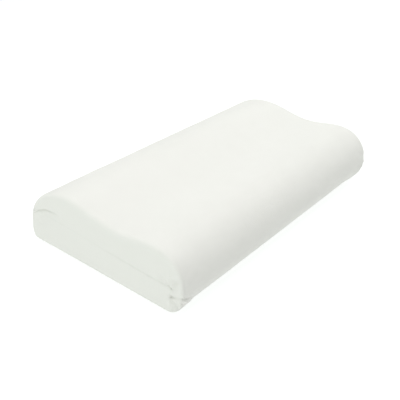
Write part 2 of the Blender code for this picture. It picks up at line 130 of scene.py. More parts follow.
class Wire:
    def __init__(self, book, socket):
        self.book = book
        self.socket = socket

    def math(self, operation, *values):
        made = self.book.node("ShaderNodeMath", {"operation": operation}, dict(enumerate(values)))
        return Wire(self.book, made.outputs[0])

    def __add__(self, other):
        return self.math("ADD", self, other)

    def __sub__(self, other):
        return self.math("SUBTRACT", self, other)

    def __rsub__(self, other):
        return self.math("SUBTRACT", other, self)

    def __mul__(self, other):
        return self.math("MULTIPLY", self, other)

    def __truediv__(self, other):
        return self.math("DIVIDE", self, other)

    def __rtruediv__(self, other):
        return self.math("DIVIDE", other, self)

    __radd__ = __add__
    __rmul__ = __mul__

    def fraction(self):
        return self.math("FRACT", self)

    def fold(self):
        # a triangle wave: 0 in the middle of each repeat, 1 at its ends
        return self.math("ABSOLUTE", self.fraction() - 0.5) * 2

    def wave(self):
        return self.math("SINE", self * math.tau)

class NodeBook:
    # one node tree; node() makes any node from its type, settings and sockets
    def __init__(self, tree):
        self.tree = tree

    def node(self, kind, settings=None, sockets=None):
        made = self.tree.nodes.new(kind)
        for name, value in (settings or {}).items():
            setattr(made, name, value)
        for name, value in (sockets or {}).items():
            self.feed(self.pick(made.inputs, name), value)
        return made

    def pick(self, sockets, name):
        if isinstance(name, int):
            return sockets[name]
        return next(socket for socket in sockets if socket.name == name and socket.enabled)

    def feed(self, socket, value):
        if isinstance(value, Wire):
            self.tree.links.new(value.socket, socket)
        elif isinstance(value, bpy.types.NodeSocket):
            self.tree.links.new(value, socket)
        else:
            socket.default_value = value

    def wire(self, kind, settings=None, sockets=None, output=0):
        return Wire(self, self.pick(self.node(kind, settings, sockets).outputs, output))


class Paint(NodeBook):
    # a material whose Principled shader is fed by this tree
    def __init__(self, name, constants):
        self.material = bpy.data.materials.new(name)
        self.material.use_nodes = True
        super().__init__(self.material.node_tree)
        self.shader = self.tree.nodes["Principled BSDF"]
        for socket, value in constants.items():
            self.shader.inputs[socket].default_value = value

    def objectPlace(self):
        return self.node("ShaderNodeTexCoord").outputs["Object"]

    def clothPlace(self, layer):
        # a place on the laid-out cloth, in metres
        flat = self.node("ShaderNodeUVMap", {"uv_map": layer}).outputs[0]
        parts = self.node("ShaderNodeSeparateXYZ", {}, {0: flat}).outputs
        return Wire(self, parts[0]), Wire(self, parts[1])

    def along(self, place, direction):
        # how far a place lies along a direction, in metres
        sockets = {0: place, 1: direction}
        return self.wire("ShaderNodeVectorMath", {"operation": "DOT_PRODUCT"}, sockets, "Value")

    def grain(self, place, size, detail=2.0):
        # cloudy noise from 0 to 1 whose patches are about this many metres across
        sockets = {"Vector": place, "Scale": 1 / size, "Detail": detail}
        return self.wire("ShaderNodeTexNoise", {}, sockets, "Fac")

    def blend(self, share, first, second):
        sockets = {"Factor": share, "A": (*first, 1), "B": (*second, 1)}
        return self.node("ShaderNodeMix", {"data_type": "RGBA"}, sockets)

    def finish(self, share, colours, roughness, height, lift):
        # colour, roughness and bump in one go, and the material comes back
        mixed = self.blend(share, *colours)
        self.feed(self.shader.inputs["Base Color"], self.pick(mixed.outputs, "Result"))
        self.feed(self.shader.inputs["Roughness"], roughness)
        bump = self.node("ShaderNodeBump", {}, {"Height": height, "Distance": lift, "Strength": 1.0})
        self.feed(self.shader.inputs["Normal"], bump.outputs["Normal"])
        return self.material


# finishes

knitSettings = {
    "wale": 0.0012,
    "course": 0.0009,
    "loopShare": 0.35,
    "fuzzSize": 0.0006,
    "mottleSize": 0.05,
    "cloudSize": 0.16,
    "lift": 0.00022,
}
looseKnit = {**knitSettings, "wale": 0.0016, "course": 0.0012}


def knit(name, light, dark, settings, sheen):
    # jersey: upright wales, each a chain of V-shaped loops
    paint = Paint(name, {"Sheen Weight": sheen, "Sheen Roughness": 0.45, "Specular IOR Level": 0.25})
    across, along = paint.clothPlace("cloth")
    place = paint.objectPlace()
    gutter = (across / settings["wale"]).fold()
    loop = (along / settings["course"] + gutter * 0.5).wave()
    fuzz = paint.grain(place, settings["fuzzSize"])
    height = (1 - gutter * gutter) * (1 - settings["loopShare"]) + loop * settings["loopShare"] * 0.5
    height = height + fuzz * 0.5
    mottle = paint.grain(place, settings["mottleSize"]) * 0.5
    mottle = mottle + paint.grain(place, settings["cloudSize"]) * 0.5
    # the colour darkens towards each gutter between wales: painted shade in the recess; mottle and fuzz add
    # random tone in the yarn, and loop a faint tone along each stitch
    share = mottle * 0.55 + gutter * 0.18 + fuzz * 0.12 + loop * 0.04
    roughness = 0.84 + fuzz * 0.12
    return paint.finish(share, (light, dark), roughness, height, settings["lift"])


def thread(name, light, dark):
    # two plies twisted together, with a little fluff
    paint = Paint(name, {"Sheen Weight": 0.2, "Specular IOR Level": 0.4})
    place = paint.objectPlace()
    lay = paint.along(place, (1 / 0.0007, 1 / 0.0007, 1 / 0.0009))
    twist = (lay + paint.grain(place, 0.004) * 0.5).fold()
    fluff = paint.grain(place, 0.0003)
    height = twist + fluff * 0.5
    return paint.finish(twist * 0.6 + fluff * 0.4, (light, dark), 0.55 + fluff * 0.2, height, 0.00012)


def foam(name, light, dark):
    # open cells under a thin moulded skin, a little yellower in patches
    paint = Paint(name, {"Specular IOR Level": 0.3})
    place = paint.objectPlace()
    sockets = {"Vector": place, "Scale": 700}
    cells = paint.wire("ShaderNodeTexVoronoi", {"feature": "DISTANCE_TO_EDGE"}, sockets, "Distance")
    patches = paint.grain(place, 0.07, 4)
    pits = paint.grain(place, 0.0016)
    height = cells * 0.8 + pits * 0.6
    return paint.finish(patches * 0.8 + pits * 0.2, (light, dark), 0.8 + pits * 0.15, height, 0.0004)


def herringbone(name, light, dark):
    # a woven tape: slanting ribs that turn back at each stripe
    paint = Paint(name, {"Sheen Weight": 0.15, "Specular IOR Level": 0.35})
    place = paint.objectPlace()
    across = paint.along(place, tuple(zipUp))
    stripe = (across / 0.0032).fold()
    rib = (paint.along(place, (1, 0, 0)) / 0.0007 + stripe * 2.2).fold()
    weft = (across / 0.00045).fold()
    fluff = paint.grain(place, 0.0005)
    height = rib * 0.7 + weft * 0.2 + fluff * 0.3
    return paint.finish(rib * 0.5 + fluff * 0.3, (light, dark), 0.7 + fluff * 0.2, height, 0.00018)


def nylon(name, light, dark):
    # drawn monofilament with a thin hard gloss and a faint haze
    paint = Paint(name, {"Coat Roughness": 0.2, "Coat Weight": 0.3, "Specular IOR Level": 0.5})
    place = paint.objectPlace()
    haze = paint.grain(place, 0.006, 3)
    fine = paint.grain(place, 0.0004)
    return paint.finish(haze * 0.7 + fine * 0.3, (light, dark), 0.32 + haze * 0.15, fine, 0.00002)


def enamel(name, light, dark):
    # gloss enamel over die-cast zinc, faintly orange-peeled, duller where fingers rub it
    paint = Paint(name, {"Coat Roughness": 0.12, "Coat Weight": 0.6})
    place = paint.objectPlace()
    peel = paint.grain(place, 0.0007)
    rubbed = paint.grain(place, 0.004, 4)
    return paint.finish(rubbed, (light, dark), 0.22 + rubbed * 0.3, peel, 0.00003)


def satin(name, light, dark):
    # satin ribbon: long floats across it, with a fine twill step
    paint = Paint(name, {"Sheen Weight": 0.3, "Anisotropic": 0.4, "Specular IOR Level": 0.6})
    across, along = paint.clothPlace("cloth")
    place = paint.objectPlace()
    floats = (across / 0.0016 + along / 0.0005).fold()
    yarn = (along / 0.00028).fold()
    fluff = paint.grain(place, 0.0015)
    share = floats * 0.4 + fluff * 0.5
    height = yarn * 0.5 + floats * 0.3
    return paint.finish(share, (light, dark), 0.34 + fluff * 0.15, height, 0.00006)


coverKnit = knit("coverKnit", (0.816, 0.806, 0.773), (0.750, 0.745, 0.708), knitSettings, 0.25)
linerKnit = knit("linerKnit", (0.80, 0.80, 0.78), (0.72, 0.72, 0.70), looseKnit, 0.1)
foamSkin = foam("foamSkin", (0.86, 0.81, 0.62), (0.80, 0.73, 0.52))
sewingThread = thread("sewingThread", (0.80, 0.81, 0.77), (0.62, 0.64, 0.59))
tapeWeave = herringbone("tapeWeave", (0.80, 0.81, 0.77), (0.62, 0.63, 0.59))
coilNylon = nylon("coilNylon", (0.84, 0.85, 0.81), (0.74, 0.75, 0.71))
zipEnamel = enamel("zipEnamel", (0.82, 0.83, 0.80), (0.72, 0.73, 0.70))
labelSatin = satin("labelSatin", (0.76, 0.75, 0.72), (0.66, 0.65, 0.62))
print("finishes mixed")


# the pillow's cross-section: the CAD cover's outline with smooth curves instead of facets

sectionShape = {
    "lowRollHeight": 0.117,
    "lowCrestIn": 0.066,
    "lowWidestAt": 0.053,
    "lowUndercut": 0.036,
    "hollowHeight": 0.110,
    "hollowToCrest": 0.066,
    "highRollHeight": coverHigh.z,
    "highCrestIn": 0.106,
    "highWidestAt": 0.040,
    "wallStartsAt": 0.028,
    "backUndercut": 0.022,
    "arcSteps": 240,
    "easeSteps": 160,
}


def ellipseArc(centre, radii, startDeg, endDeg, steps):
    turn = np.radians(np.linspace(startDeg, endDeg, steps + 1))
    return np.stack([centre[0] + radii[0] * np.cos(turn), centre[1] + radii[1] * np.sin(turn)], axis=1)


def easedRun(start, end, steps):
    share = np.linspace(0, 1, steps + 1)[1:-1]
    height = end[1] + (start[1] - end[1]) * (1 + np.cos(np.pi * share)) / 2
    return np.stack([start[0] + (end[0] - start[0]) * share, height], axis=1)


def closedOutline(shape):
    front, back = -halfWidth, halfWidth
    steps = shape["arcSteps"]
    lowCrest = (front + shape["lowCrestIn"], shape["lowRollHeight"])
    hollow = (lowCrest[0] + shape["hollowToCrest"], shape["hollowHeight"])
    highCrest = (back - shape["highCrestIn"], shape["highRollHeight"])
    highRadii = (shape["highCrestIn"], shape["highRollHeight"] - shape["highWidestAt"])
    lowRadii = (shape["lowCrestIn"], shape["lowRollHeight"] - shape["lowWidestAt"])
    wallStart = shape["wallStartsAt"]
    undercut = shape["backUndercut"]
    lowWidest = shape["lowWidestAt"]
    lowUndercut = shape["lowUndercut"]
    return np.concatenate(
        [
            ellipseArc((back - undercut, wallStart), (undercut, wallStart), 270, 360, steps),
            ellipseArc((highCrest[0], shape["highWidestAt"]), highRadii, 0, 90, steps),
            easedRun(highCrest, hollow, shape["easeSteps"]),
            np.array([hollow]),
            easedRun(hollow, lowCrest, shape["easeSteps"]),
            ellipseArc((lowCrest[0], lowWidest), lowRadii, 90, 180, steps),
            ellipseArc((front + lowUndercut, lowWidest), (lowUndercut, lowWidest), 180, 270, steps)[1:],
        ]
    )


class Outline:
    # the section as a curve by arc length, anticlockwise seen from +X
    def __init__(self, points):
        closed = np.concatenate([points, points[:1]])
        sides = np.linalg.norm(np.diff(closed, axis=0), axis=1)
        self.closed = closed
        self.reach = np.concatenate([[0], np.cumsum(sides)])
        self.total = self.reach[-1]
        even = np.linspace(0, self.total, 1601)
        place = self.place(even)
        run = np.roll(place[:-1], -2, axis=0) - np.roll(place[:-1], 2, axis=0)
        normal = np.stack([run[:, 1], -run[:, 0]], axis=1)
        normal /= np.linalg.norm(normal, axis=1)[:, None]
        self.even = even
        self.normals = np.concatenate([normal, normal[:1]])

    def place(self, stations):
        wrapped = np.mod(stations, self.total)
        return np.stack([np.interp(wrapped, self.reach, self.closed[:, axis]) for axis in (0, 1)], axis=1)

    def outward(self, stations):
        wrapped = np.mod(stations, self.total)
        return np.stack([np.interp(wrapped, self.even, self.normals[:, axis]) for axis in (0, 1)], axis=1)

    def facing(self, degrees, nearY):
        # the station whose normal points this way, on the side of the pillow where nearY is
        angle = np.degrees(np.arctan2(self.normals[:, 1], self.normals[:, 0]))
        miss = np.abs((angle - degrees + 180) % 360 - 180)
        place = self.place(self.even)
        miss = miss + np.where(place[:, 0] * nearY > 0, 0, 360)
        return self.even[int(np.argmin(miss))]

    def nearest(self, y, z):
        place = self.place(self.even)
        return self.even[int(np.argmin((place[:, 0] - y) ** 2 + (place[:, 1] - z) ** 2))]

    def topAt(self, y, start, end):
        # stations on the top, between two others, at these distances across the pillow
        stations = np.linspace(start, end, 2000)
        across = self.place(stations)[:, 0]
        order = np.argsort(across)
        return np.interp(y, across[order], stations[order])


outline = Outline(closedOutline(sectionShape))


# a pillow-shaped skin on an even grid: a tube of rings along X, closed by a grid at each end

coverGrid = {
    "coarse": 0.0105,
    "fine": 0.0024,
    "growth": 0.17,
    "ringSteps": 6,
    "softness": 2.5,
    "edgeFacing": (-0.6, -0.1, 0.5, 1.0),
    "edgeRadii": (0.0048, 0.0062, 0.0062, 0.0105),
    "smallestRadius": 0.002,
    "backFacing": 0.7,
}
innerGrid = {**coverGrid, "coarse": 0.014, "fine": 0.0048, "growth": 0.25}
stanceSettings = {
    "liftFront": 0.0035,
    "liftBack": 0.0105,
    "liftSpan": (-0.15, 0.15),
    "liftFrom": 0.235,
    "liftFade": 0.045,
    "endMargin": 0.003,
    "wallShare": 0.6,
    "wallFrom": (0.10, 0.158),
    "wallTopFade": (0.028, 0.045),
    "wallGap": 0.001,
    "tuck": 0.0052,
    "tuckEnd": (0.245, 0.285),
    "tuckCentre": (-0.144, 0.053),
    "tuckRadii": (0.036, 0.053),
    "fullness": 0.0045,
    "rightFullness": 0.3,
    "fullFrom": 0.24,
    "fullCentre": (-0.114, 0.053),
    "fullRadii": (0.066, 0.064),
}
seamWave = 0.0012
threadWidth = 0.0006
slotParts = 4
extraFrontRows = 2
topSpotMoves = {"front": 0.004, "mostFront": 0.02, "back": 0.010}


def spacedSteps(start, end, fineSpots, grid, count=None):
    # stations from start to end that close up near the fine spots
    probe = np.linspace(start, end, 400)
    gap = np.min([np.abs(probe - spot) for spot in fineSpots], axis=0) if fineSpots else np.full(400, 1.0)
    step = np.minimum(grid["coarse"], grid["fine"] + grid["growth"] * gap)
    density = np.concatenate([[0], np.cumsum(np.abs(np.diff(probe)) * (1 / step[1:] + 1 / step[:-1]) / 2)])
    if count is None:
        count = max(1, int(round(density[-1])))
    return np.interp(np.linspace(0, density[-1], count + 1), density, probe), count


def smooth(low, high, value):
    share = np.clip((value - low) / (high - low), 0, 1)
    return share * share * (3 - 2 * share)


def joined(*runs):
    return np.concatenate([runs[0]] + [run[1:] for run in runs[1:]])


def seamHeight(y):
    # the end seam climbs from the low roll to the high one, with a slight wave
    share = (y - frontSeam) / (backSeam - frontSeam)
    start, end = endSeamLow.z + threadWidth, endSeamHigh.z - threadWidth
    straight = start + (end - start) * share
    return straight - seamWave * np.sin(2 * np.pi * np.clip(share, 0, 1))


def layOutStations(grid):
    bottomFront = outline.facing(225, -1)
    bottomBack = outline.facing(-45, 1)
    topBack = outline.facing(45, 1)
    topFront = outline.facing(135, -1)
    zipStation = outline.nearest(zipMiddle.y, zipMiddle.z)
    frontStation = outline.nearest(-halfWidth, float(seamHeight(frontSeam)))
    half = slotWidth / 2
    backLow, lowCount = spacedSteps(bottomBack, zipStation - half, [zipStation - half], grid)
    backHigh, highCount = spacedSteps(zipStation + half, topBack, [zipStation + half], grid)
    slotRows = np.linspace(zipStation - half, zipStation + half, slotParts + 1)
    frontHigh, _ = spacedSteps(topFront, frontStation, [frontStation], grid, highCount + extraFrontRows)
    frontLow, _ = spacedSteps(frontStation, bottomFront, [frontStation], grid, lowCount + extraFrontRows)
    yStart, yEnd = outline.place(np.array([bottomFront, bottomBack]))[:, 0]
    first, _ = spacedSteps(yStart, frontSeam, [frontSeam], grid)
    middle, _ = spacedSteps(frontSeam, backSeam, [frontSeam, backSeam], grid)
    last, _ = spacedSteps(backSeam, yEnd, [backSeam], grid)
    acrossBottom = joined(first, middle, last)
    bottomArc = (bottomBack + outline.total if bottomBack < bottomFront else bottomBack) - bottomFront
    bottom = bottomFront + (acrossBottom - yStart) * bottomArc / (yEnd - yStart)
    topY = outline.place(np.array([topFront, topBack]))[:, 0]
    seamSpots = [yStart, frontSeam, backSeam, yEnd]
    topFrontSpot = min(frontSeam + topSpotMoves["front"], topY[0] + topSpotMoves["mostFront"])
    topSpots = [topY[0], topFrontSpot, backSeam - topSpotMoves["back"], topY[1]]
    acrossTop = np.interp(acrossBottom, seamSpots, topSpots)
    top = outline.topAt(acrossTop, topBack, topFront)
    back = joined(backLow, slotRows, backHigh)
    front = joined(frontHigh, frontLow)
    stations = np.concatenate([bottom[:-1], back[:-1], top[::-1][:-1], front[:-1]])
    return {
        "stations": stations,
        "columns": len(bottom) - 1,
        "rows": len(backLow) + len(slotRows) + len(backHigh) - 3,
        "seamRow": lowCount + extraFrontRows,
        "slotRows": (lowCount, lowCount + slotParts),
    }


def ringRadius(outward, grid, depth):
    # the edge is soft over the top, tighter at the upright corners, and tightest underneath
    radius = np.interp(outward[:, 1], grid["edgeFacing"], grid["edgeRadii"])
    return np.maximum(radius - depth, grid["smallestRadius"])


def quarterBulge(points, centre, radii, upward):
    # 1 in the middle of the front roll's upper or lower quarter, 0 at both its ends
    ahead = (centre[0] - points[:, 1]) / radii[0]
    rise = (points[:, 2] - centre[1]) / radii[1] * upward
    turn = np.clip(np.arctan2(rise, ahead), 0, math.pi / 2)
    return np.sin(2 * turn) ** 2


def settled(points, stance):
    # how the filled cover stands: its ends' lower edges pull up, their back wall is straighter,
    # and its front is tucked under between the corners and fuller at the ends
    points = points.copy()
    x, y, z = points.T
    reach = np.abs(x)
    diagonal = math.sqrt(0.5)
    atEnd = smooth(stance["liftFrom"], halfLength - stance["endMargin"], reach)
    tuck = stance["tuck"] * quarterBulge(points, stance["tuckCentre"], stance["tuckRadii"], -1)
    tuck = tuck * (1 - smooth(*stance["tuckEnd"], reach)) * diagonal
    full = stance["fullness"] * quarterBulge(points, stance["fullCentre"], stance["fullRadii"], 1)
    full = full * smooth(stance["fullFrom"], halfLength, reach)
    full = full * np.where(x < 0, 1.0, stance["rightFullness"]) * diagonal
    straighten = stance["wallShare"] * smooth(*stance["wallFrom"], y)
    straighten = straighten * (1 - smooth(*stance["wallTopFade"], z))
    lift = np.interp(y, stance["liftSpan"], (stance["liftFront"], stance["liftBack"]))
    lift = lift * atEnd * (1 - smooth(0, stance["liftFade"], z))
    toWall = np.maximum(halfWidth - stance["wallGap"] - y, 0)
    points[:, 1] += tuck - full + atEnd * straighten * toWall
    points[:, 2] += tuck + full + lift
    return points


def coonsPatch(bottom, top, front, back):
    # a grid between four curves of (y, z) points: columns from front to back, rows from bottom to top
    across = runShare(bottom + top)[:, None, None]
    upward = runShare(front + back)[None, :, None]
    ruled = (1 - upward) * bottom[:, None] + upward * top[:, None]
    ruled = ruled + (1 - across) * front[None] + across * back[None]
    corners = (1 - across) * ((1 - upward) * bottom[0] + upward * top[0])
    corners = corners + across * ((1 - upward) * bottom[-1] + upward * top[-1])
    return ruled - corners


def runShare(points):
    # each point's share of the way along a run of points
    reach = np.concatenate([[0], np.cumsum(np.linalg.norm(np.diff(points, axis=0), axis=1))])
    return reach / reach[-1]


def tubeRings(halfRun, grid):
    # each ring as (side, turn, along): a side and a turn where an edge rolls over, or its place along X
    turns = np.linspace(0, math.pi / 2, grid["ringSteps"] + 1)
    straight = joined(-halfRun[::-1], halfRun)
    rings = [(-1, turn, 0) for turn in turns[::-1]]
    rings += [(0, 0, along) for along in straight[1:-1]]
    return rings + [(1, turn, 0) for turn in turns]


def tubePoints(rings, stations, inset, radius, endAt, softness):
    # the edge rolls over like a superellipse, with no sudden start
    place = outline.place(stations)
    outward = outline.outward(stations)
    soft = 2 / softness
    tube = []
    for side, turn, along in rings:
        move = inset + abs(side) * radius * (1 - abs(math.cos(turn)) ** soft)
        x = np.full(len(stations), along)
        if side:
            x = side * (endAt - radius * (1 - math.sin(turn) ** soft))
        tube.append(np.column_stack([x, place - outward * move[:, None]]))
    return np.array(tube)


def tubeQuads(tube, openRows, openTo):
    # the tube's faces; these rows are left open up to this far from the middle
    rings, count = tube.shape[:2]
    middles = tube[:, :, 0].mean(axis=1)
    faces = []
    for i in range(rings - 1):
        inSlot = abs(middles[i] + middles[i + 1]) / 2 < openTo
        for j in range(count):
            if inSlot and j in openRows:
                continue
            after = (j + 1) % count
            faces.append((i * count + j, i * count + after, (i + 1) * count + after, (i + 1) * count + j))
    return faces


def rimNumbers(columns, rows, count):
    # which of a ring's points stands at each rim place (column, row) of an end's grid
    rim = {}
    for k in range(columns + 1):
        rim[(k, 0)] = k
        rim[(k, rows)] = columns + rows + columns - k
    for j in range(rows + 1):
        rim[(columns, j)] = columns + j
        rim[(0, j)] = (2 * columns + rows + rows - j) % count
    return rim


def endPatch(ring, rim, plan):
    # an end's grid of (y, z) places, with one row along the end seam
    columns, rows, seamRow = plan["columns"], plan["rows"], plan["seamRow"]
    bottom = ring[[rim[(k, 0)] for k in range(columns + 1)]]
    top = ring[[rim[(k, rows)] for k in range(columns + 1)]]
    front = ring[[rim[(0, j)] for j in range(rows + 1)]]
    back = ring[[rim[(columns, j)] for j in range(rows + 1)]]
    spots = [bottom[0, 0], frontSeam, backSeam, bottom[-1, 0]]
    seamY = np.interp(bottom[:, 0], spots, [front[seamRow, 0], frontSeam, backSeam, back[seamRow, 0]])
    seam = np.column_stack([seamY, seamHeight(seamY)])
    seam[0], seam[-1] = front[seamRow], back[seamRow]
    lower = coonsPatch(bottom, seam, front[: seamRow + 1], back[: seamRow + 1])
    upper = coonsPatch(seam, top, front[seamRow:], back[seamRow:])
    return np.concatenate([lower, upper[:, 1:]], axis=1)


def closeEnd(side, ringStart, base, rim, patch, endAt):
    # the points inside one end's rim, numbered from base, and the end's faces
    number = {}
    inside = []
    columns, rows = patch.shape[0] - 1, patch.shape[1] - 1
    for k in range(columns + 1):
        for j in range(rows + 1):
            if (k, j) in rim:
                number[(k, j)] = ringStart + rim[(k, j)]
            else:
                number[(k, j)] = base + len(inside)
                inside.append((side * endAt, *patch[k, j]))
    faces = []
    for k in range(columns):
        for j in range(rows):
            quad = (number[(k, j)], number[(k + 1, j)], number[(k + 1, j + 1)], number[(k, j + 1)])
            faces.append(quad if side > 0 else quad[::-1])
    return np.array(inside), faces


def skinMesh(name, grid, depth=0.0, backRoom=0.0, endRoom=0.0, slot=False, shrink=0.0):
    # a skin this deep inside the outline, with extra room behind the zip and at both ends
    plan = layOutStations(grid)
    stations = plan["stations"]
    count = len(stations)
    columns = plan["columns"]
    outward = outline.outward(stations)
    radius = ringRadius(outward, grid, depth)
    room = smooth(0, grid["backFacing"], outward[:, 0])
    inset = depth + shrink * np.clip(1 + outward[:, 1], 0, 1) + backRoom * room
    endAt = halfLength - depth - endRoom - shrink
    slotEdge = slotHalf if slot else halfLength * 0.8
    inner = endAt - float(radius.max())
    outerRun, _ = spacedSteps(slotEdge, inner, [inner], grid)
    innerRun, _ = spacedSteps(0.0, slotEdge, [slotEdge] if slot else [], grid)
    rings = tubeRings(joined(innerRun, outerRun), grid)
    tube = tubePoints(rings, stations, inset, radius, endAt, grid["softness"])
    low, high = (columns + row for row in plan["slotRows"])
    faces = tubeQuads(tube, range(low, high) if slot else (), slotEdge)
    tubeFaces = len(faces)
    vertices = [tube.reshape(-1, 3)]
    rim = rimNumbers(columns, plan["rows"], count)
    base = len(rings) * count
    for side, ringIndex in ((-1, 0), (1, len(rings) - 1)):
        patch = endPatch(tube[ringIndex][:, 1:], rim, plan)
        inside, ends = closeEnd(side, ringIndex * count, base, rim, patch, endAt)
        vertices.append(inside)
        faces += ends
        base += len(inside)
    mesh = bpy.data.meshes.new(name)
    mesh.from_pydata(settled(np.concatenate(vertices), stanceSettings).tolist(), [], faces)
    addClothMap(mesh, tube, stations, tubeFaces)
    clearLoose(mesh)
    obj = bpy.data.objects.new(name, mesh)
    scene.collection.objects.link(obj)
    return obj


def addClothMap(mesh, tube, stations, tubeFaces):
    # a UV map in metres of cloth: along and round the tube, and flat on each end
    count = len(stations)
    crest = int(np.argmax(tube[len(tube) // 2, :, 2]))
    along = np.concatenate([[0], np.cumsum(np.linalg.norm(np.diff(tube[:, crest], axis=0), axis=1))])
    uv = np.zeros((len(mesh.loops), 2))
    corners = np.zeros(len(mesh.loops), int)
    mesh.loops.foreach_get("vertex_index", corners)
    split = tubeFaces * 4
    spots = (corners[:split] % count).reshape(-1, 4)
    reach = stations.copy()
    reach[reach < reach[0]] += outline.total
    crossing = (spots.max(axis=1) == count - 1) & (spots.min(axis=1) == 0)
    around = reach[spots] + np.where((spots == 0) & crossing[:, None], outline.total, 0)
    uv[:split, 0] = along[corners[:split] // count]
    uv[:split, 1] = around.ravel()
    uv[split:] = pointsOf(mesh)[corners[split:]][:, 1:]
    mesh.uv_layers.new(name="cloth").data.foreach_set("uv", uv.ravel())


def clearLoose(mesh):
    # the grid's points that no face uses, inside the slot
    shape = bmesh.new()
    shape.from_mesh(mesh)
    loose = [corner for corner in shape.verts if not corner.link_faces]
    bmesh.ops.delete(shape, geom=loose, context="VERTS")
    shape.to_mesh(mesh)
    shape.free()


def pointsOf(mesh):
    points = np.zeros(len(mesh.vertices) * 3)
    mesh.vertices.foreach_get("co", points)
    return points.reshape(-1, 3)


def normalsOf(mesh):
    normals = np.zeros(len(mesh.vertices) * 3)
    mesh.vertices.foreach_get("normal", normals)
    return normals.reshape(-1, 3)


def setPoints(mesh, points):
    mesh.vertices.foreach_set("co", np.asarray(points, np.float32).ravel())
    mesh.update()


def frozen(obj):
    # swap a piece's modifiers for the mesh that they make
    graph = bpy.context.evaluated_depsgraph_get()
    shown = obj.evaluated_get(graph)
    made = bpy.data.meshes.new_from_object(shown, preserve_all_data_layers=True, depsgraph=graph)
    obj.modifiers.clear()
    old = obj.data
    obj.data = made
    bpy.data.meshes.remove(old)
    made.name = obj.name


def finer(obj):
    step = obj.modifiers.new("finer", "SUBSURF")
    step.levels = 1
    step.render_levels = 1
    frozen(obj)


def walled(obj, thickness):
    # a wall of cloth, grown inwards from the skin
    wall = obj.modifiers.new("wall", "SOLIDIFY")
    wall.thickness = thickness
    wall.offset = -1
    frozen(obj)


def placed(obj, material, nodes, body="pillow"):
    # the last step of each piece: its finish, the CAD nodes it stands for and the body it rides on
    if material:
        obj.data.materials.clear()
        obj.data.materials.append(material)
    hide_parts(*nodes)
    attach(obj, body)


# the fitted cover: a skin that is swollen by a short cloth run, then drawn in along its sewn lines

coverSettings = {
    "startShrink": 0.0016,
    "pressure": 3.0,
    "stiffness": 60,
    "bending": 12,
    "clothMass": 0.3,
    "quality": 5,
    "frames": 20,
    "evenPasses": 12,
    "leastSwell": 0.0010,
    "mostSwell": 0.0027,
    "swellScale": 0.006,
    "unevenness": 0.00035,
    "unevenFrom": (0.004, 0.02),
    "seed": 11,
}
heldSettings = {
    "endFrom": (0.022, 0.008),
    "seamReach": 0.0022,
    "seamFoot": (0.018, 0.026),
    "seamTopFade": 0.008,
    "zipReach": (0.014, 0.022),
    "zipDepth": 0.008,
    "pastSlot": (0.012, 0.02),
    "ground": (0.0008, 0.006),
}
seamSettings = {
    "depth": 0.0015,
    "width": 0.0012,
    "pullFrom": -0.07,
    "pullReach": 0.05,
    "leastPull": 0.12,
    "frontFade": 0.004,
    "backFade": (0.002, 0.004),
    "gatherShare": 0.35,
    "gatherLength": 0.031,
    "rippleHeight": 0.0005,
    "rippleReach": 0.009,
    "rippleAbove": 0.004,
    "rippleSlant": 0.3,
    "frontReach": 0.05,
    "backReach": 0.04,
    "uprightFoot": (0.018, 0.028),
    "uprightTop": (0.078, 0.090),
    "frontShare": 0.6,
    "backShare": 0.25,
    "leastUpright": 0.3,
    "crossReach": 0.012,
}
foldSettings = {
    "out": 0.0010,
    "in": 0.0014,
    "groove": 0.0030,
    "crest": (0.114, 0.0850),
    "spread": (0.0435, 0.017),
    "drop": (0.0128, 0.0034),
    "start": (0.084, 0.110),
    "end": (0.156, 0.172),
    "grooveStart": (0.095, 0.125),
    "grooveWidth": 0.0012,
    "ridgeAbove": 0.0045,
    "ridgeWidth": 0.0050,
    "hollowFade": 0.012,
}
hemSettings = {
    "width": 0.0085,
    "height": 0.0005,
    "edge": 0.0015,
    "depth": 0.010,
    "pastSlot": (0.004, 0.010),
    "grooveShare": 0.5,
    "grooveWidth": 0.0009,
    "pullShare": 0.3,
    "pullLength": 0.016,
    "pullReach": 0.006,
}


def bell(value, width):
    return np.exp(-((value / width) ** 2))


def evened(mesh, values, passes):
    # each point's value drifts towards the mean of its neighbours'
    edges = np.zeros(len(mesh.edges) * 2, int)
    mesh.edges.foreach_get("vertices", edges)
    first, second = edges.reshape(-1, 2).T
    size = len(values)
    neighbours = np.bincount(first, minlength=size) + np.bincount(second, minlength=size)
    for _ in range(passes):
        total = np.bincount(first, values[second], size) + np.bincount(second, values[first], size)
        values = (values + total / neighbours) / 2
    return values


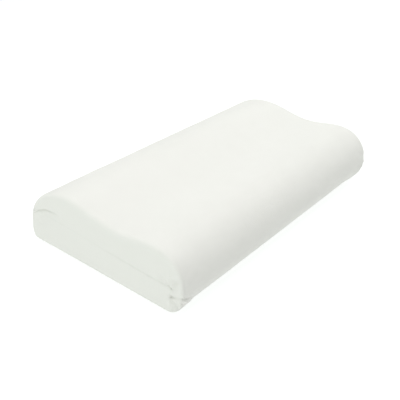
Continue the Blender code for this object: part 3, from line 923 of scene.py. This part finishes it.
def swell(obj, settings, held):
    # a short cloth run under pressure with the held points pinned; the rise is evened out and capped
    start = pointsOf(obj.data)
    normals = normalsOf(obj.data)
    group = obj.vertex_groups.new(name="held")
    steps = np.round(held, 1)
    for weight in np.unique(steps[steps > 0]):
        group.add(np.flatnonzero(steps == weight).tolist(), float(weight), "REPLACE")
    cloth = obj.modifiers.new("swell", "CLOTH")
    cloth.settings.quality = settings["quality"]
    cloth.settings.mass = settings["clothMass"]
    cloth.settings.tension_stiffness = settings["stiffness"]
    cloth.settings.compression_stiffness = settings["stiffness"]
    cloth.settings.shear_stiffness = settings["stiffness"] / 2
    cloth.settings.bending_stiffness = settings["bending"]
    cloth.settings.use_pressure = True
    cloth.settings.uniform_pressure_force = settings["pressure"]
    cloth.settings.effector_weights.gravity = 0
    cloth.settings.vertex_group_mass = "held"
    cloth.collision_settings.use_collision = False
    cloth.point_cache.frame_start = 1
    cloth.point_cache.frame_end = settings["frames"]
    for number in range(1, settings["frames"] + 1):
        scene.frame_set(number)
    graph = bpy.context.evaluated_depsgraph_get()
    swollen = pointsOf(obj.evaluated_get(graph).data)
    obj.modifiers.remove(cloth)
    obj.vertex_groups.clear()
    scene.frame_set(1)
    rise = evened(obj.data, np.sum((swollen - start) * normals, axis=1), settings["evenPasses"])
    print("cloth run, rise in mm:", *np.round(np.percentile(rise, [1, 25, 50, 75, 99]) * 1000, 1))
    least, most = settings["leastSwell"], settings["mostSwell"]
    capped = least + (most - least) * (1 - np.exp(-np.maximum(rise, 0) / settings["swellScale"]))
    lift = settings["startShrink"] * held + capped * (1 - held)
    points = start + normals * lift[:, None]
    points[:, 2] = np.maximum(points[:, 2], 0.0)
    setPoints(obj.data, points)


def fromZip(points):
    # how far points are from the zip's middle line: up or down the cloth, and out or in
    offset = points - np.array(zipMiddle)
    return np.abs(offset @ np.array(zipUp)), np.abs(offset @ np.array(zipOut))


def heldPoints(points, settings):
    # what the swelling leaves alone: the corner seams, the zip's surround and the underside
    x, y, z = points.T
    far, near = settings["endFrom"]
    onEnd = smooth(halfLength - far, halfLength - near, np.abs(x))
    corner = sum(bell(y - seamY, settings["seamReach"]) for seamY in (frontSeam, backSeam))
    corner = corner * smooth(*settings["seamFoot"], z)
    corner = corner * (1 - smooth(cornerSeamHigh.z, cornerSeamHigh.z + settings["seamTopFade"], z))
    across, out = fromZip(points)
    past, fade = settings["pastSlot"]
    nearZip = (1 - smooth(*settings["zipReach"], across)) * (out < settings["zipDepth"])
    nearZip = nearZip * (1 - smooth(0.0, fade, np.abs(x) - slotHalf - past))
    underside = 1 - smooth(*settings["ground"], z)
    return np.clip(np.maximum(np.maximum(onEnd * corner, nearZip), underside), 0, 1)


creaseShape = {"start": 1.15, "endFade": 1.2, "lipAway": 1.8, "lipWidth": 1.3}


def crease(across, up, start, end, width, depth, lip):
    # a valley from start to end with a lip beside it; it dies away towards its end
    run = np.subtract(end, start)
    length = math.hypot(*run)
    share = ((across - start[0]) * run[0] + (up - start[1]) * run[1]) / length**2
    aside = ((up - start[1]) * run[0] - (across - start[0]) * run[1]) / length
    beyond = np.maximum(np.maximum(-share, share - 1), 0) * length
    strength = np.clip(creaseShape["start"] - np.clip(share, 0, 1), 0, 1)
    strength = strength * bell(beyond, width * creaseShape["endFade"])
    ridge = lip * bell(aside - width * creaseShape["lipAway"], width * creaseShape["lipWidth"])
    return strength * (ridge - depth * bell(aside, width))


# creases by the front corner seam: on the end as (distance in from the seam, height), then on the long side
# as (distance from the end, height); each with its width, depth and lip
endCreases = [
    ((-0.0020, 0.0538), (0.0050, 0.0553), 0.0022, 0.0050, 0.0006),
    ((0.0015, 0.0560), (0.0230, 0.0655), 0.0026, 0.0016, 0.0022),
    ((0.0240, 0.0600), (0.0040, 0.0570), 0.0030, -0.0016, 0.0000),
    ((0.0000, 0.0520), (0.0150, 0.0430), 0.0034, 0.0012, 0.0006),
    ((-0.0050, 0.0660), (-0.0040, 0.0390), 0.0028, -0.0030, 0.0000),
    ((-0.0115, 0.0660), (-0.0105, 0.0430), 0.0036, 0.0034, 0.0000),
    ((-0.0010, 0.0365), (-0.0020, 0.0270), 0.0024, 0.0044, 0.0014),
    ((0.0000, 0.0352), (-0.0260, 0.0436), 0.0018, 0.0036, 0.0020),
    ((0.0020, 0.0330), (0.0100, 0.0280), 0.0026, 0.0014, 0.0010),
    ((-0.0040, 0.0300), (-0.0200, 0.0120), 0.0030, 0.0024, 0.0018),
    ((-0.0030, 0.0200), (-0.0060, 0.0060), 0.0030, 0.0022, 0.0010),
]
sideCreases = [
    ((0.0000, 0.0432), (0.0220, 0.0352), 0.0018, 0.0034, 0.0020),
    ((0.0040, 0.0320), (0.0220, 0.0150), 0.0032, 0.0022, 0.0020),
    ((0.0060, 0.0600), (0.0300, 0.0720), 0.0050, 0.0009, 0.0006),
]


# each corner's end of the pillow, seam, strength of creases and how far down they are moved
creasedCorners = [
    (-1, frontSeam, 1.0, 0.0),
    (1, frontSeam, 0.8, -0.003),
    (-1, backSeam, 0.15, -0.012),
    (1, backSeam, 0.2, -0.010),
]
creaseFacing = (0.25, 0.75)
endFacing = (0.3, 0.8)


def cornerMove(points, normals, side, seamY, scale, shift):
    # the creases of one sewn corner; scale and shift make each corner its own
    x, y, z = points.T
    towardsMiddle = -math.copysign(1, seamY)
    onEnd = smooth(*creaseFacing, normals[:, 0] * side)
    onSide = smooth(*creaseFacing, -normals[:, 1] * towardsMiddle) * (y * seamY > 0)
    inward = (y - seamY) * towardsMiddle
    fromEnd = halfLength - x * side
    total = np.zeros(len(points))
    for start, end, width, depth, lip in endCreases:
        total += onEnd * crease(inward, z + shift, start, end, width, depth, lip)
    for start, end, width, depth, lip in sideCreases:
        total += onSide * crease(fromEnd, z + shift, start, end, width, depth, lip)
    return total * scale


rippleSettings = {"shares": (1.0, 0.62, 0.41, 0.27), "scale": 1.6}
swellSettings = {"waves": 14, "shortest": 0.05, "spread": 0.11, "scale": 5}


def ripple(values, seed, longest=0.022):
    # an even mix of short waves, with fixed places for the seed
    random = np.random.RandomState(seed)
    total = np.zeros(len(values))
    for share in rippleSettings["shares"]:
        total += np.sin(math.tau * (values / (longest * share) + random.rand())) * share
    return total / rippleSettings["scale"]


def unevenness(points, seed):
    # broad soft swells over the whole cover
    random = np.random.RandomState(seed)
    total = np.zeros(len(points))
    for _ in range(swellSettings["waves"]):
        direction = random.normal(size=3)
        direction /= np.linalg.norm(direction)
        size = swellSettings["shortest"] + swellSettings["spread"] * random.rand()
        total += np.sin(math.tau * (points @ direction / size + random.rand()))
    return total / swellSettings["scale"]


def endFold(y, z, settings):
    # a soft fold over the seam at the back of each end: it arches up, overhangs, and fades to the front
    crestY, crestZ = settings["crest"]
    towardsBack = y > crestY
    spread = np.where(towardsBack, *settings["spread"])
    drop = np.where(towardsBack, *settings["drop"])
    miss = z - (crestZ - drop * ((y - crestY) / spread) ** 2)
    strength = smooth(*settings["start"], y) * (1 - smooth(*settings["end"], y))
    sharp = bell(miss, settings["grooveWidth"])
    above = bell(miss - settings["ridgeAbove"], settings["ridgeWidth"])
    below = np.where(miss < 0, np.exp(np.minimum(miss, 0) / settings["hollowFade"]), sharp)
    groove = settings["groove"] * sharp * smooth(*settings["grooveStart"], y)
    return strength * (settings["out"] * above - settings["in"] * below - groove)


def endSeamMove(y, z, side, seed, settings):
    # the end seam drawn in, most of all towards the front, with puckers beside it near the corners
    miss = z - seamHeight(y)
    before, after = settings["backFade"]
    between = smooth(frontSeam - settings["frontFade"], frontSeam, y)
    between = between * (1 - smooth(backSeam - before, backSeam + after, y))
    least = settings["leastPull"]
    pulled = least + (1 - least) * bell(np.maximum(y - settings["pullFrom"], 0), settings["pullReach"])
    share = settings["gatherShare"]
    gathered = 1 - share + share * ripple(y, seed + 3 * side, settings["gatherLength"])
    line = -settings["depth"] * bell(miss, settings["width"]) * pulled * gathered
    drawn = ripple(y + miss * settings["rippleSlant"], seed + side)
    drawn = drawn * bell(miss - settings["rippleAbove"], settings["rippleReach"])
    atFront = bell(y - frontSeam, settings["frontReach"])
    nearCorner = np.maximum(atFront, bell(y - backSeam, settings["backReach"]))
    return between * (line + settings["rippleHeight"] * drawn * nearCorner)


def uprightSeamMove(y, z, seamY, settings):
    # a corner's upright seam drawn in, most of all where it meets the end seam
    upright = smooth(*settings["uprightFoot"], z) * (1 - smooth(*settings["uprightTop"], z))
    least = settings["leastUpright"]
    stitched = least + (1 - least) * bell(z - float(seamHeight(seamY)), settings["crossReach"])
    drawnIn = settings["depth"] * settings["frontShare" if seamY < 0 else "backShare"]
    return -drawnIn * bell(y - seamY, settings["width"]) * upright * stitched


def hemMove(points, seed, settings):
    # the hems beside the zip: turned cloth, a groove along the stitches, and puckers across them
    across, out = fromZip(points)
    low, high = settings["pastSlot"]
    reach = np.abs(points[:, 0])
    atZip = (out < settings["depth"]) * (1 - smooth(slotHalf + low, slotHalf + high, reach))
    hem = 1 - smooth(settings["width"] - settings["edge"], settings["width"], across)
    groove = -settings["grooveShare"] * bell(across - stitchRowUp, settings["grooveWidth"])
    pull = ripple(points[:, 0], seed + 5, settings["pullLength"])
    pull = settings["pullShare"] * pull * bell(across - stitchRowUp, settings["pullReach"])
    return settings["height"] * atZip * (hem + groove + pull)


def sculptCover(obj, settings):
    # sewn lines drawn in, puckers beside them, creased corners, a fold at the back and turned hems at the zip
    points = pointsOf(obj.data)
    normals = normalsOf(obj.data)
    _, y, z = points.T
    seed = settings["seed"]
    total = settings["unevenness"] * unevenness(points, seed) * smooth(*settings["unevenFrom"], z)
    for side in (-1, 1):
        onEnd = smooth(*endFacing, normals[:, 0] * side)
        total += onEnd * endSeamMove(y, z, side, seed, seamSettings)
        total += onEnd * endFold(y, z, foldSettings)
        for seamY in (frontSeam, backSeam):
            total += onEnd * uprightSeamMove(y, z, seamY, seamSettings)
    for corner in creasedCorners:
        total += cornerMove(points, normals, *corner)
    total += hemMove(points, seed, hemSettings)
    moved = points + normals * total[:, None]
    moved[:, 2] = np.maximum(moved[:, 2], 0.0)
    setPoints(obj.data, moved)


def makeCover(settings):
    cover = skinMesh("cover", coverGrid, slot=True, shrink=settings["startShrink"])
    swell(cover, settings, heldPoints(pointsOf(cover.data), heldSettings))
    finer(cover)
    sculptCover(cover, settings)
    walled(cover, coverWall)
    cover.data.shade_smooth()
    placed(cover, coverKnit, ["cover_wrap"])
    return cover


cover = makeCover(coverSettings)
print("cover made, faces:", len(cover.data.polygons))


# what the cover holds: the foam core, and the thin liner sewn round it

coreSettings = {
    "depth": 0.0044,
    "backRoom": 0.0022,
    "endRoom": 0.0022,
    "dimple": 0.00012,
    "dimpleLength": 0.05,
    "seeds": (3, 4),
}
linerSettings = {
    "depth": 0.0036,
    "backRoom": 0.0022,
    "endRoom": 0.0020,
    "wall": 0.0005,
    "seamRidge": 0.0003,
    "seamWidth": 0.0022,
}


def makeCore(settings):
    core = skinMesh("foamBlock", innerGrid, settings["depth"], settings["backRoom"], settings["endRoom"])
    finer(core)
    points = pointsOf(core.data)
    length = settings["dimpleLength"]
    dimples = ripple(points[:, 0], settings["seeds"][0], length)
    dimples = dimples * ripple(points[:, 1] + points[:, 2], settings["seeds"][1], length)
    dents = settings["dimple"] * np.clip(dimples, 0, 1)
    setPoints(core.data, points - normalsOf(core.data) * dents[:, None])
    core.data.shade_smooth()
    placed(core, foamSkin, ["foam_core"])


def makeLiner(settings):
    liner = skinMesh("linerSleeve", innerGrid, settings["depth"], settings["backRoom"], settings["endRoom"])
    finer(liner)
    points = pointsOf(liner.data)
    normals = normalsOf(liner.data)
    onEnd = smooth(*endFacing, np.abs(normals[:, 0]))
    miss = points[:, 2] - seamHeight(points[:, 1])
    ridge = settings["seamRidge"] * bell(miss, settings["seamWidth"]) * onEnd
    setPoints(liner.data, points + normals * ridge[:, None])
    walled(liner, settings["wall"])
    liner.data.shade_smooth()
    placed(liner, linerKnit, ["liner_sleeve"])
    return liner


makeCore(coreSettings)
liner = makeLiner(linerSettings)
print("core and liner made")


# what repeats along a path: stitches and coil turns, grown by Geometry Nodes


class Pattern(NodeBook):
    # a Geometry Nodes tree with named inputs
    def __init__(self, name, inputs):
        super().__init__(bpy.data.node_groups.new(name, "GeometryNodeTree"))
        sockets = self.tree.interface
        sockets.new_socket("Geometry", in_out="INPUT", socket_type="NodeSocketGeometry")
        self.keys = {}
        for label, kind in inputs.items():
            made = sockets.new_socket(label, in_out="INPUT", socket_type="NodeSocket" + kind)
            self.keys[label] = made.identifier
        sockets.new_socket("Geometry", in_out="OUTPUT", socket_type="NodeSocketGeometry")
        self.start = self.tree.nodes.new("NodeGroupInput")
        self.end = self.tree.nodes.new("NodeGroupOutput")

    def given(self, label):
        return Wire(self, self.start.outputs[label])

    def spaced(self, spacing):
        # the path as a curve, and points along it at this spacing
        line = self.wire("GeometryNodeMeshToCurve", {}, {0: self.given("Geometry")})
        sockets = {"Curve": line, "Length": self.given(spacing)}
        return line, self.node("GeometryNodeCurveToPoints", {"mode": "LENGTH"}, sockets).outputs

    def strand(self, line, width, caps):
        # a round strand of this width along a curve
        sockets = {"Resolution": 6, "Radius": self.given(width) / 2}
        edge = self.wire("GeometryNodeCurvePrimitiveCircle", {}, sockets)
        return self.wire("GeometryNodeCurveToMesh", {}, {0: line, 1: edge, "Fill Caps": caps})

    def repeat(self, spots, shape, turn, extra):
        # one copy of a shape on each point
        sockets = {"Points": spots["Points"], "Instance": shape, "Rotation": turn, **extra}
        return self.wire("GeometryNodeInstanceOnPoints", {}, sockets)

    def close(self, shape, material):
        # plain geometry, smooth, in its finish
        real = self.wire("GeometryNodeRealizeInstances", {}, {0: shape})
        soft = self.wire("GeometryNodeSetShadeSmooth", {}, {0: real})
        done = self.wire("GeometryNodeSetMaterial", {}, {"Geometry": soft, "Material": material})
        self.feed(self.end.inputs[0], done)

    def grow(self, name, paths, values):
        # runs the tree on one or more paths of points and keeps the mesh that it makes
        mesh = bpy.data.meshes.new(name)
        points = [tuple(point) for path in paths for point in path]
        starts = np.cumsum([0] + [len(path) for path in paths])
        edges = [(k, k + 1) for start, end in zip(starts, starts[1:]) for k in range(start, end - 1)]
        mesh.from_pydata(points, edges, [])
        obj = bpy.data.objects.new(name, mesh)
        scene.collection.objects.link(obj)
        rows = obj.modifiers.new("rows", "NODES")
        rows.node_group = self.tree
        for label, value in values.items():
            rows[self.keys[label]] = value
        frozen(obj)
        return obj


stitchInputs = {
    "Spacing": "Float",
    "Length": "Float",
    "Thickness": "Float",
    "Sway": "Float",
    "Seed": "Int",
    "Thread": "Material",
}
coilInputs = {
    "Pitch": "Float",
    "Loop length": "Float",
    "Loop height": "Float",
    "Wire": "Float",
    "Cord": "Float",
    "Turn": "Vector",
    "Nylon": "Material",
}


def makeStitchPattern():
    # a row of thread beads, each a little longer or shorter than the next
    pattern = Pattern("stitchRow", stitchInputs)
    spots = pattern.spaced("Spacing")[1]
    bead = pattern.wire("GeometryNodeMeshUVSphere", {}, {"Segments": 8, "Rings": 5, "Radius": 0.5})
    thickness = pattern.given("Thickness")
    sockets = {"X": pattern.given("Length"), "Y": thickness, "Z": thickness}
    size = pattern.wire("ShaderNodeCombineXYZ", {}, sockets)
    sway = pattern.given("Sway")
    sockets = {"Min": 1 - sway, "Max": sway + 1, "Seed": pattern.given("Seed")}
    random = pattern.wire("FunctionNodeRandomValue", {"data_type": "FLOAT"}, sockets, "Value")
    size = pattern.wire("ShaderNodeVectorMath", {"operation": "SCALE"}, {0: size, "Scale": random})
    sockets = {"Vector": spots["Tangent"]}
    turn = pattern.wire("FunctionNodeAlignRotationToVector", {"axis": "X"}, sockets)
    pattern.close(pattern.repeat(spots, bead, turn, {"Scale": size}), pattern.given("Thread"))
    return pattern


stitchPattern = makeStitchPattern()


seamStitches = {
    "Spacing": 0.0030,
    "Length": 0.0024,
    "Thickness": 0.00045,
    "Sway": 0.12,
    "Thread": sewingThread,
}
linerStitches = {**seamStitches, "Spacing": 0.0036, "Length": 0.0028, "Thickness": 0.0004}
zipStitches = {**seamStitches, "Spacing": 0.0033, "Length": 0.0027, "Thickness": 0.0005}
rowSettings = {
    "sink": 0.00005,
    "standOff": 0.05,
    "endMargin": 0.002,
    "endSteps": 160,
    "linerSteps": 120,
    "cornerSteps": 40,
    "zipSteps": 260,
    "pastSlot": 0.009,
    "zipStandOff": 0.03,
    "zipSeed": 20,
}


def skinFinder(obj):
    # finds where a ray first meets a piece
    tree = BVHTree.FromObject(obj, bpy.context.evaluated_depsgraph_get())

    def find(start, direction, sink=0.0):
        place, normal, _, _ = tree.ray_cast(Vector(start), Vector(direction))
        return place - normal * sink

    return find


onCover = skinFinder(cover)
onLiner = skinFinder(liner)


def endPath(find, side, ys, zs, settings):
    # where a row of stitches lies on one end of a piece
    outside = side * (halfLength + settings["standOff"])
    return [find((outside, y, z), (-side, 0, 0), settings["sink"]) for y, z in zip(ys, zs)]


def stitched(name, path, look, seed, node):
    row = stitchPattern.grow(name, [path], {**look, "Seed": seed})
    placed(row, None, [node])


def stitchEnd(side, name, seed, settings):
    # an end's seam, the liner's seam behind it and the two upright corner seams
    margin = settings["endMargin"]
    ys = np.linspace(frontSeam + margin, backSeam - margin, settings["endSteps"])
    path = endPath(onCover, side, ys, seamHeight(ys), settings)
    stitched("endStitches_" + name, path, seamStitches, seed, "end_seam_" + name)
    low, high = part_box("liner_seam_" + name)
    ys = np.linspace(low.y, high.y, settings["linerSteps"])
    path = endPath(onLiner, side, ys, seamHeight(ys), settings)
    stitched("linerStitches_" + name, path, linerStitches, seed + 1, "liner_seam_" + name)
    steps = settings["cornerSteps"]
    zs = np.linspace(cornerSeamLow.z, cornerSeamHigh.z, steps)
    for number, (which, seamY) in enumerate((("front", frontSeam), ("back", backSeam))):
        path = endPath(onCover, side, np.full(steps, seamY), zs, settings)
        label = which + "_" + name
        stitched("cornerStitches_" + label, path, seamStitches, seed + 2 + number, "corner_seam_" + label)


def stitchZip(sign, name, settings):
    # the row that holds a tape to the cover, above or below the coils
    far = slotHalf + settings["pastSlot"]
    start = zipMiddle + zipOut * settings["zipStandOff"] + zipUp * (stitchRowUp * sign)
    xs = np.linspace(-far, far, settings["zipSteps"])
    path = [onCover((x, start.y, start.z), -zipOut, settings["sink"]) for x in xs]
    stitched("zipStitches_" + name, path, zipStitches, settings["zipSeed"] + sign, "zip_stitch_" + name)


stitchEnd(-1, "left", 1, rowSettings)
stitchEnd(1, "right", 5, rowSettings)
stitchZip(1, "upper", rowSettings)
stitchZip(-1, "lower", rowSettings)
print("seams stitched")


# the zip: woven tapes, coil teeth, stops, slider and pull

coilSettings = {
    "Pitch": 0.00145,
    "Loop length": 0.0030,
    "Loop height": 0.00150,
    "Wire": 0.00055,
    "Cord": 0.0007,
    "lean": 9.0,
    "shiftBack": 0.0001,
    "sameStation": 0.0002,
}


def makeCoilPattern():
    # oval turns of monofilament round a straight cord
    pattern = Pattern("coilTeeth", coilInputs)
    line, spots = pattern.spaced("Pitch")
    circle = pattern.wire("GeometryNodeCurvePrimitiveCircle", {}, {"Resolution": 8, "Radius": 0.5})
    sockets = {"X": pattern.given("Loop length"), "Y": pattern.given("Loop height"), "Z": 1.0}
    size = pattern.wire("ShaderNodeCombineXYZ", {}, sockets)
    oval = pattern.wire("GeometryNodeTransform", {}, {0: circle, "Scale": size})
    turn = pattern.wire("FunctionNodeEulerToRotation", {}, {0: pattern.given("Turn")})
    both = pattern.node("GeometryNodeJoinGeometry")
    pattern.feed(both.inputs[0], pattern.repeat(spots, pattern.strand(oval, "Wire", False), turn, {}))
    pattern.feed(both.inputs[0], pattern.strand(line, "Cord", True))
    pattern.close(Wire(pattern, both.outputs[0]), pattern.given("Nylon"))
    return pattern


coilPattern = makeCoilPattern()


def makeCoils(settings):
    # each half follows its CAD solid, and the lower one's turns sit between the upper one's
    sizes = {label: settings[label] for label in coilInputs if label in settings}
    axes = Matrix((zipUp, zipOut, zipUp.cross(zipOut))).transposed()
    for sign, name in ((1, "upper"), (-1, "lower")):
        corners = zipPoints("zip_coil_" + name)
        stations = np.unique(np.round(corners[:, 0], 5))
        middles = [corners[np.abs(corners[:, 0] - x) < settings["sameStation"]] for x in stations]
        path = np.array([(group.min(axis=0) + group.max(axis=0)) / 2 for group in middles])
        path[:, 2] -= sign * settings["shiftBack"]
        path[0, 0] += settings["Wire"] + (settings["Pitch"] / 2 if sign < 0 else 0)
        path[-1, 0] -= settings["Wire"]
        spots = path @ np.array(zipTurn).T + np.array(pivot)
        turned = axes @ Matrix.Rotation(math.radians(settings["lean"] * sign), 3, "Y")
        values = {**sizes, "Turn": tuple(turned.to_euler()), "Nylon": coilNylon}
        coil = coilPattern.grow("coilTeeth_" + name, [spots], values)
        placed(coil, None, ["zip_coil_" + name])


castSettings = {
    "weld": 0.00001,
    "flatDeg": 2,
    "sharpDeg": 25,
    "segments": 3,
}


def rounded(node, name, edge):
    # a cast piece with the CAD solid's faces and softened edges
    source = frame["nodes"][node].data
    shape = bmesh.new()
    corners = [shape.verts.new(vertex.co) for vertex in source.vertices]
    for face in source.polygons:
        shape.faces.new([corners[index] for index in face.vertices])
    bmesh.ops.remove_doubles(shape, verts=shape.verts, dist=castSettings["weld"])
    flat = math.radians(castSettings["flatDeg"])
    bmesh.ops.dissolve_limit(shape, angle_limit=flat, verts=shape.verts, edges=shape.edges)
    mesh = bpy.data.meshes.new(name)
    shape.to_mesh(mesh)
    shape.free()
    obj = bpy.data.objects.new(name, mesh)
    scene.collection.objects.link(obj)
    bevel = obj.modifiers.new("edges", "BEVEL")
    bevel.width = edge
    bevel.segments = castSettings["segments"]
    bevel.limit_method = "ANGLE"
    bevel.angle_limit = math.radians(castSettings["sharpDeg"])
    bevel.harden_normals = True
    frozen(obj)
    obj.data.shade_smooth()
    return obj


# each casting's CAD node, body and edge radius
zipCastings = {
    "slider": ("zip_slider", "slider", 0.00018),
    "pullTab": ("zip_pull", "pull", 0.00022),
    "bottomStop": ("zip_bottom_stop", "pillow", 0.00025),
    "topStopUpper": ("zip_top_stop_upper", "pillow", 0.0002),
    "topStopLower": ("zip_top_stop_lower", "pillow", 0.0002),
}


def makeZip():
    for node in ("zip_tape_upper", "zip_tape_lower"):
        tape = frame["nodes"][node]
        tape.data.materials.clear()
        tape.data.materials.append(tapeWeave)
    makeCoils(coilSettings)
    for name, (node, body, edge) in zipCastings.items():
        placed(rounded(node, name, edge), zipEnamel, [node], body)


makeZip()
print("zip made")


# the care label: a blank satin ribbon folded in two, its ends sewn into the end seam

labelSettings = {
    "thickness": 0.00018,
    "gap": 0.0005,
    "lift": 0.0022,
    "sidewaysCurl": 0.0006,
    "columns": 12,
    "rows": 28,
    "foldSteps": 6,
    "sewnBelow": 0.004,
    "standOff": 0.05,
}


def labelProfile(drop, settings):
    # the folded ribbon seen edge on, as (out, down): the front leaf, the fold, and the leaf behind
    bend = settings["gap"] / 2
    share = np.linspace(0, 1, settings["rows"] + 1) * (1 - bend / drop)
    turn = np.linspace(0, math.pi, settings["foldSteps"] + 1)[1:-1]
    front = [(bend + settings["lift"] * s**2, -drop * s) for s in share]
    tip = front[-1]
    fold = [(tip[0] - bend + bend * math.cos(t), tip[1] - bend * math.sin(t)) for t in turn]
    behind = [(out - 2 * bend, down) for out, down in front[::-1]]
    return np.array(front + fold + behind)


def makeLabel(settings):
    low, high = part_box("care_label")
    width = high.y - low.y
    drop = high.z - low.z
    columns = settings["columns"]
    profile = labelProfile(drop, settings)
    reach = np.concatenate([[0], np.cumsum(np.linalg.norm(np.diff(profile, axis=0), axis=1))])
    vertices = []
    uv = []
    for k in range(columns + 1):
        across = k / columns
        y = low.y + width * across
        start = (halfLength + settings["standOff"], y, high.z - settings["sewnBelow"])
        surface = onCover(start, (-1, 0, 0)).x + settings["gap"] / 2 + settings["thickness"]
        for (out, down), length in zip(profile, reach):
            cup = settings["sidewaysCurl"] * (2 * across - 1) ** 2 * abs(down / drop)
            vertices.append((surface + out + cup, y, high.z + down))
            uv.append((width * across, length))
    count = len(profile)
    faces = []
    for k in range(columns):
        for j in range(count - 1):
            here = k * count + j
            faces.append((here, here + 1, here + count + 1, here + count))
    mesh = bpy.data.meshes.new("careLabel")
    mesh.from_pydata(vertices, [], faces)
    layer = mesh.uv_layers.new(name="cloth")
    for loop in mesh.loops:
        layer.data[loop.index].uv = uv[loop.vertex_index]
    label = bpy.data.objects.new("careLabel", mesh)
    scene.collection.objects.link(label)
    wall = label.modifiers.new("wall", "SOLIDIFY")
    wall.thickness = settings["thickness"]
    wall.offset = 0
    frozen(label)
    label.data.shade_smooth()
    placed(label, labelSatin, ["care_label"])


makeLabel(labelSettings)
print("label made")


# floor and studio light: the floor glows softly, so the pillow stands on plain white

studioSettings = {
    "floorColour": (0.30, 0.30, 0.30),
    "floorGlow": 0.8,
    "floorHalf": 30.0,
    "floorRoughness": 0.9,
    "speckleSize": 0.01,
    "speckleLift": 0.00001,
    "worldColour": (0.975, 1.0, 0.985),
    "worldStrength": 0.48,
}
lampSettings = {
    "overheadLamp": {"power": 38.0, "size": 2.4, "place": (0.0, 0.0, 2.4), "colour": (1.0, 0.975, 0.99)},
    "leftLamp": {"power": 19.2, "size": 2.0, "place": (-2.6, 0.0, 1.0), "colour": (0.90, 1.0, 0.93)},
    "rightLamp": {"power": 24.5, "size": 2.0, "place": (2.5, 0.0, 1.0), "colour": (0.90, 1.0, 0.93)},
}


def areaLamp(name, power, size, place, colour):
    data = bpy.data.lights.new(name, "AREA")
    data.energy = power
    data.shape = "DISK"
    data.size = size
    data.color = colour
    lamp = bpy.data.objects.new(name, data)
    lamp.location = place
    aim = Vector((0, 0, cameraSettings["aimHeight"])) - Vector(place)
    lamp.rotation_euler = aim.to_track_quat("-Z", "Y").to_euler()
    scene.collection.objects.link(lamp)


def makeStudio(settings, lamps):
    mesh = bpy.data.meshes.new("floor")
    half = settings["floorHalf"]
    corners = [(-half, -half, 0), (half, -half, 0), (half, half, 0), (-half, half, 0)]
    mesh.from_pydata(corners, [], [(0, 1, 2, 3)])
    floor = bpy.data.objects.new("floor", mesh)
    scene.collection.objects.link(floor)
    paper = Paint("paleFloor", {"Specular IOR Level": 0.0, "Emission Strength": settings["floorGlow"]})
    paper.shader.inputs["Emission Color"].default_value = (*settings["worldColour"], 1)
    speckle = paper.grain(paper.objectPlace(), settings["speckleSize"])
    colours = (settings["floorColour"], settings["floorColour"])
    lift = settings["speckleLift"]
    mesh.materials.append(paper.finish(speckle, colours, settings["floorRoughness"], speckle, lift))
    world = bpy.data.worlds.new("studio")
    world.use_nodes = True
    backdrop = world.node_tree.nodes["Background"]
    backdrop.inputs["Color"].default_value = (*settings["worldColour"], 1)
    backdrop.inputs["Strength"].default_value = settings["worldStrength"]
    scene.world = world
    for name, lamp in lamps.items():
        areaLamp(name, **lamp)
    scene.view_settings.view_transform = "Standard"


makeStudio(studioSettings, lampSettings)
print("studio ready")
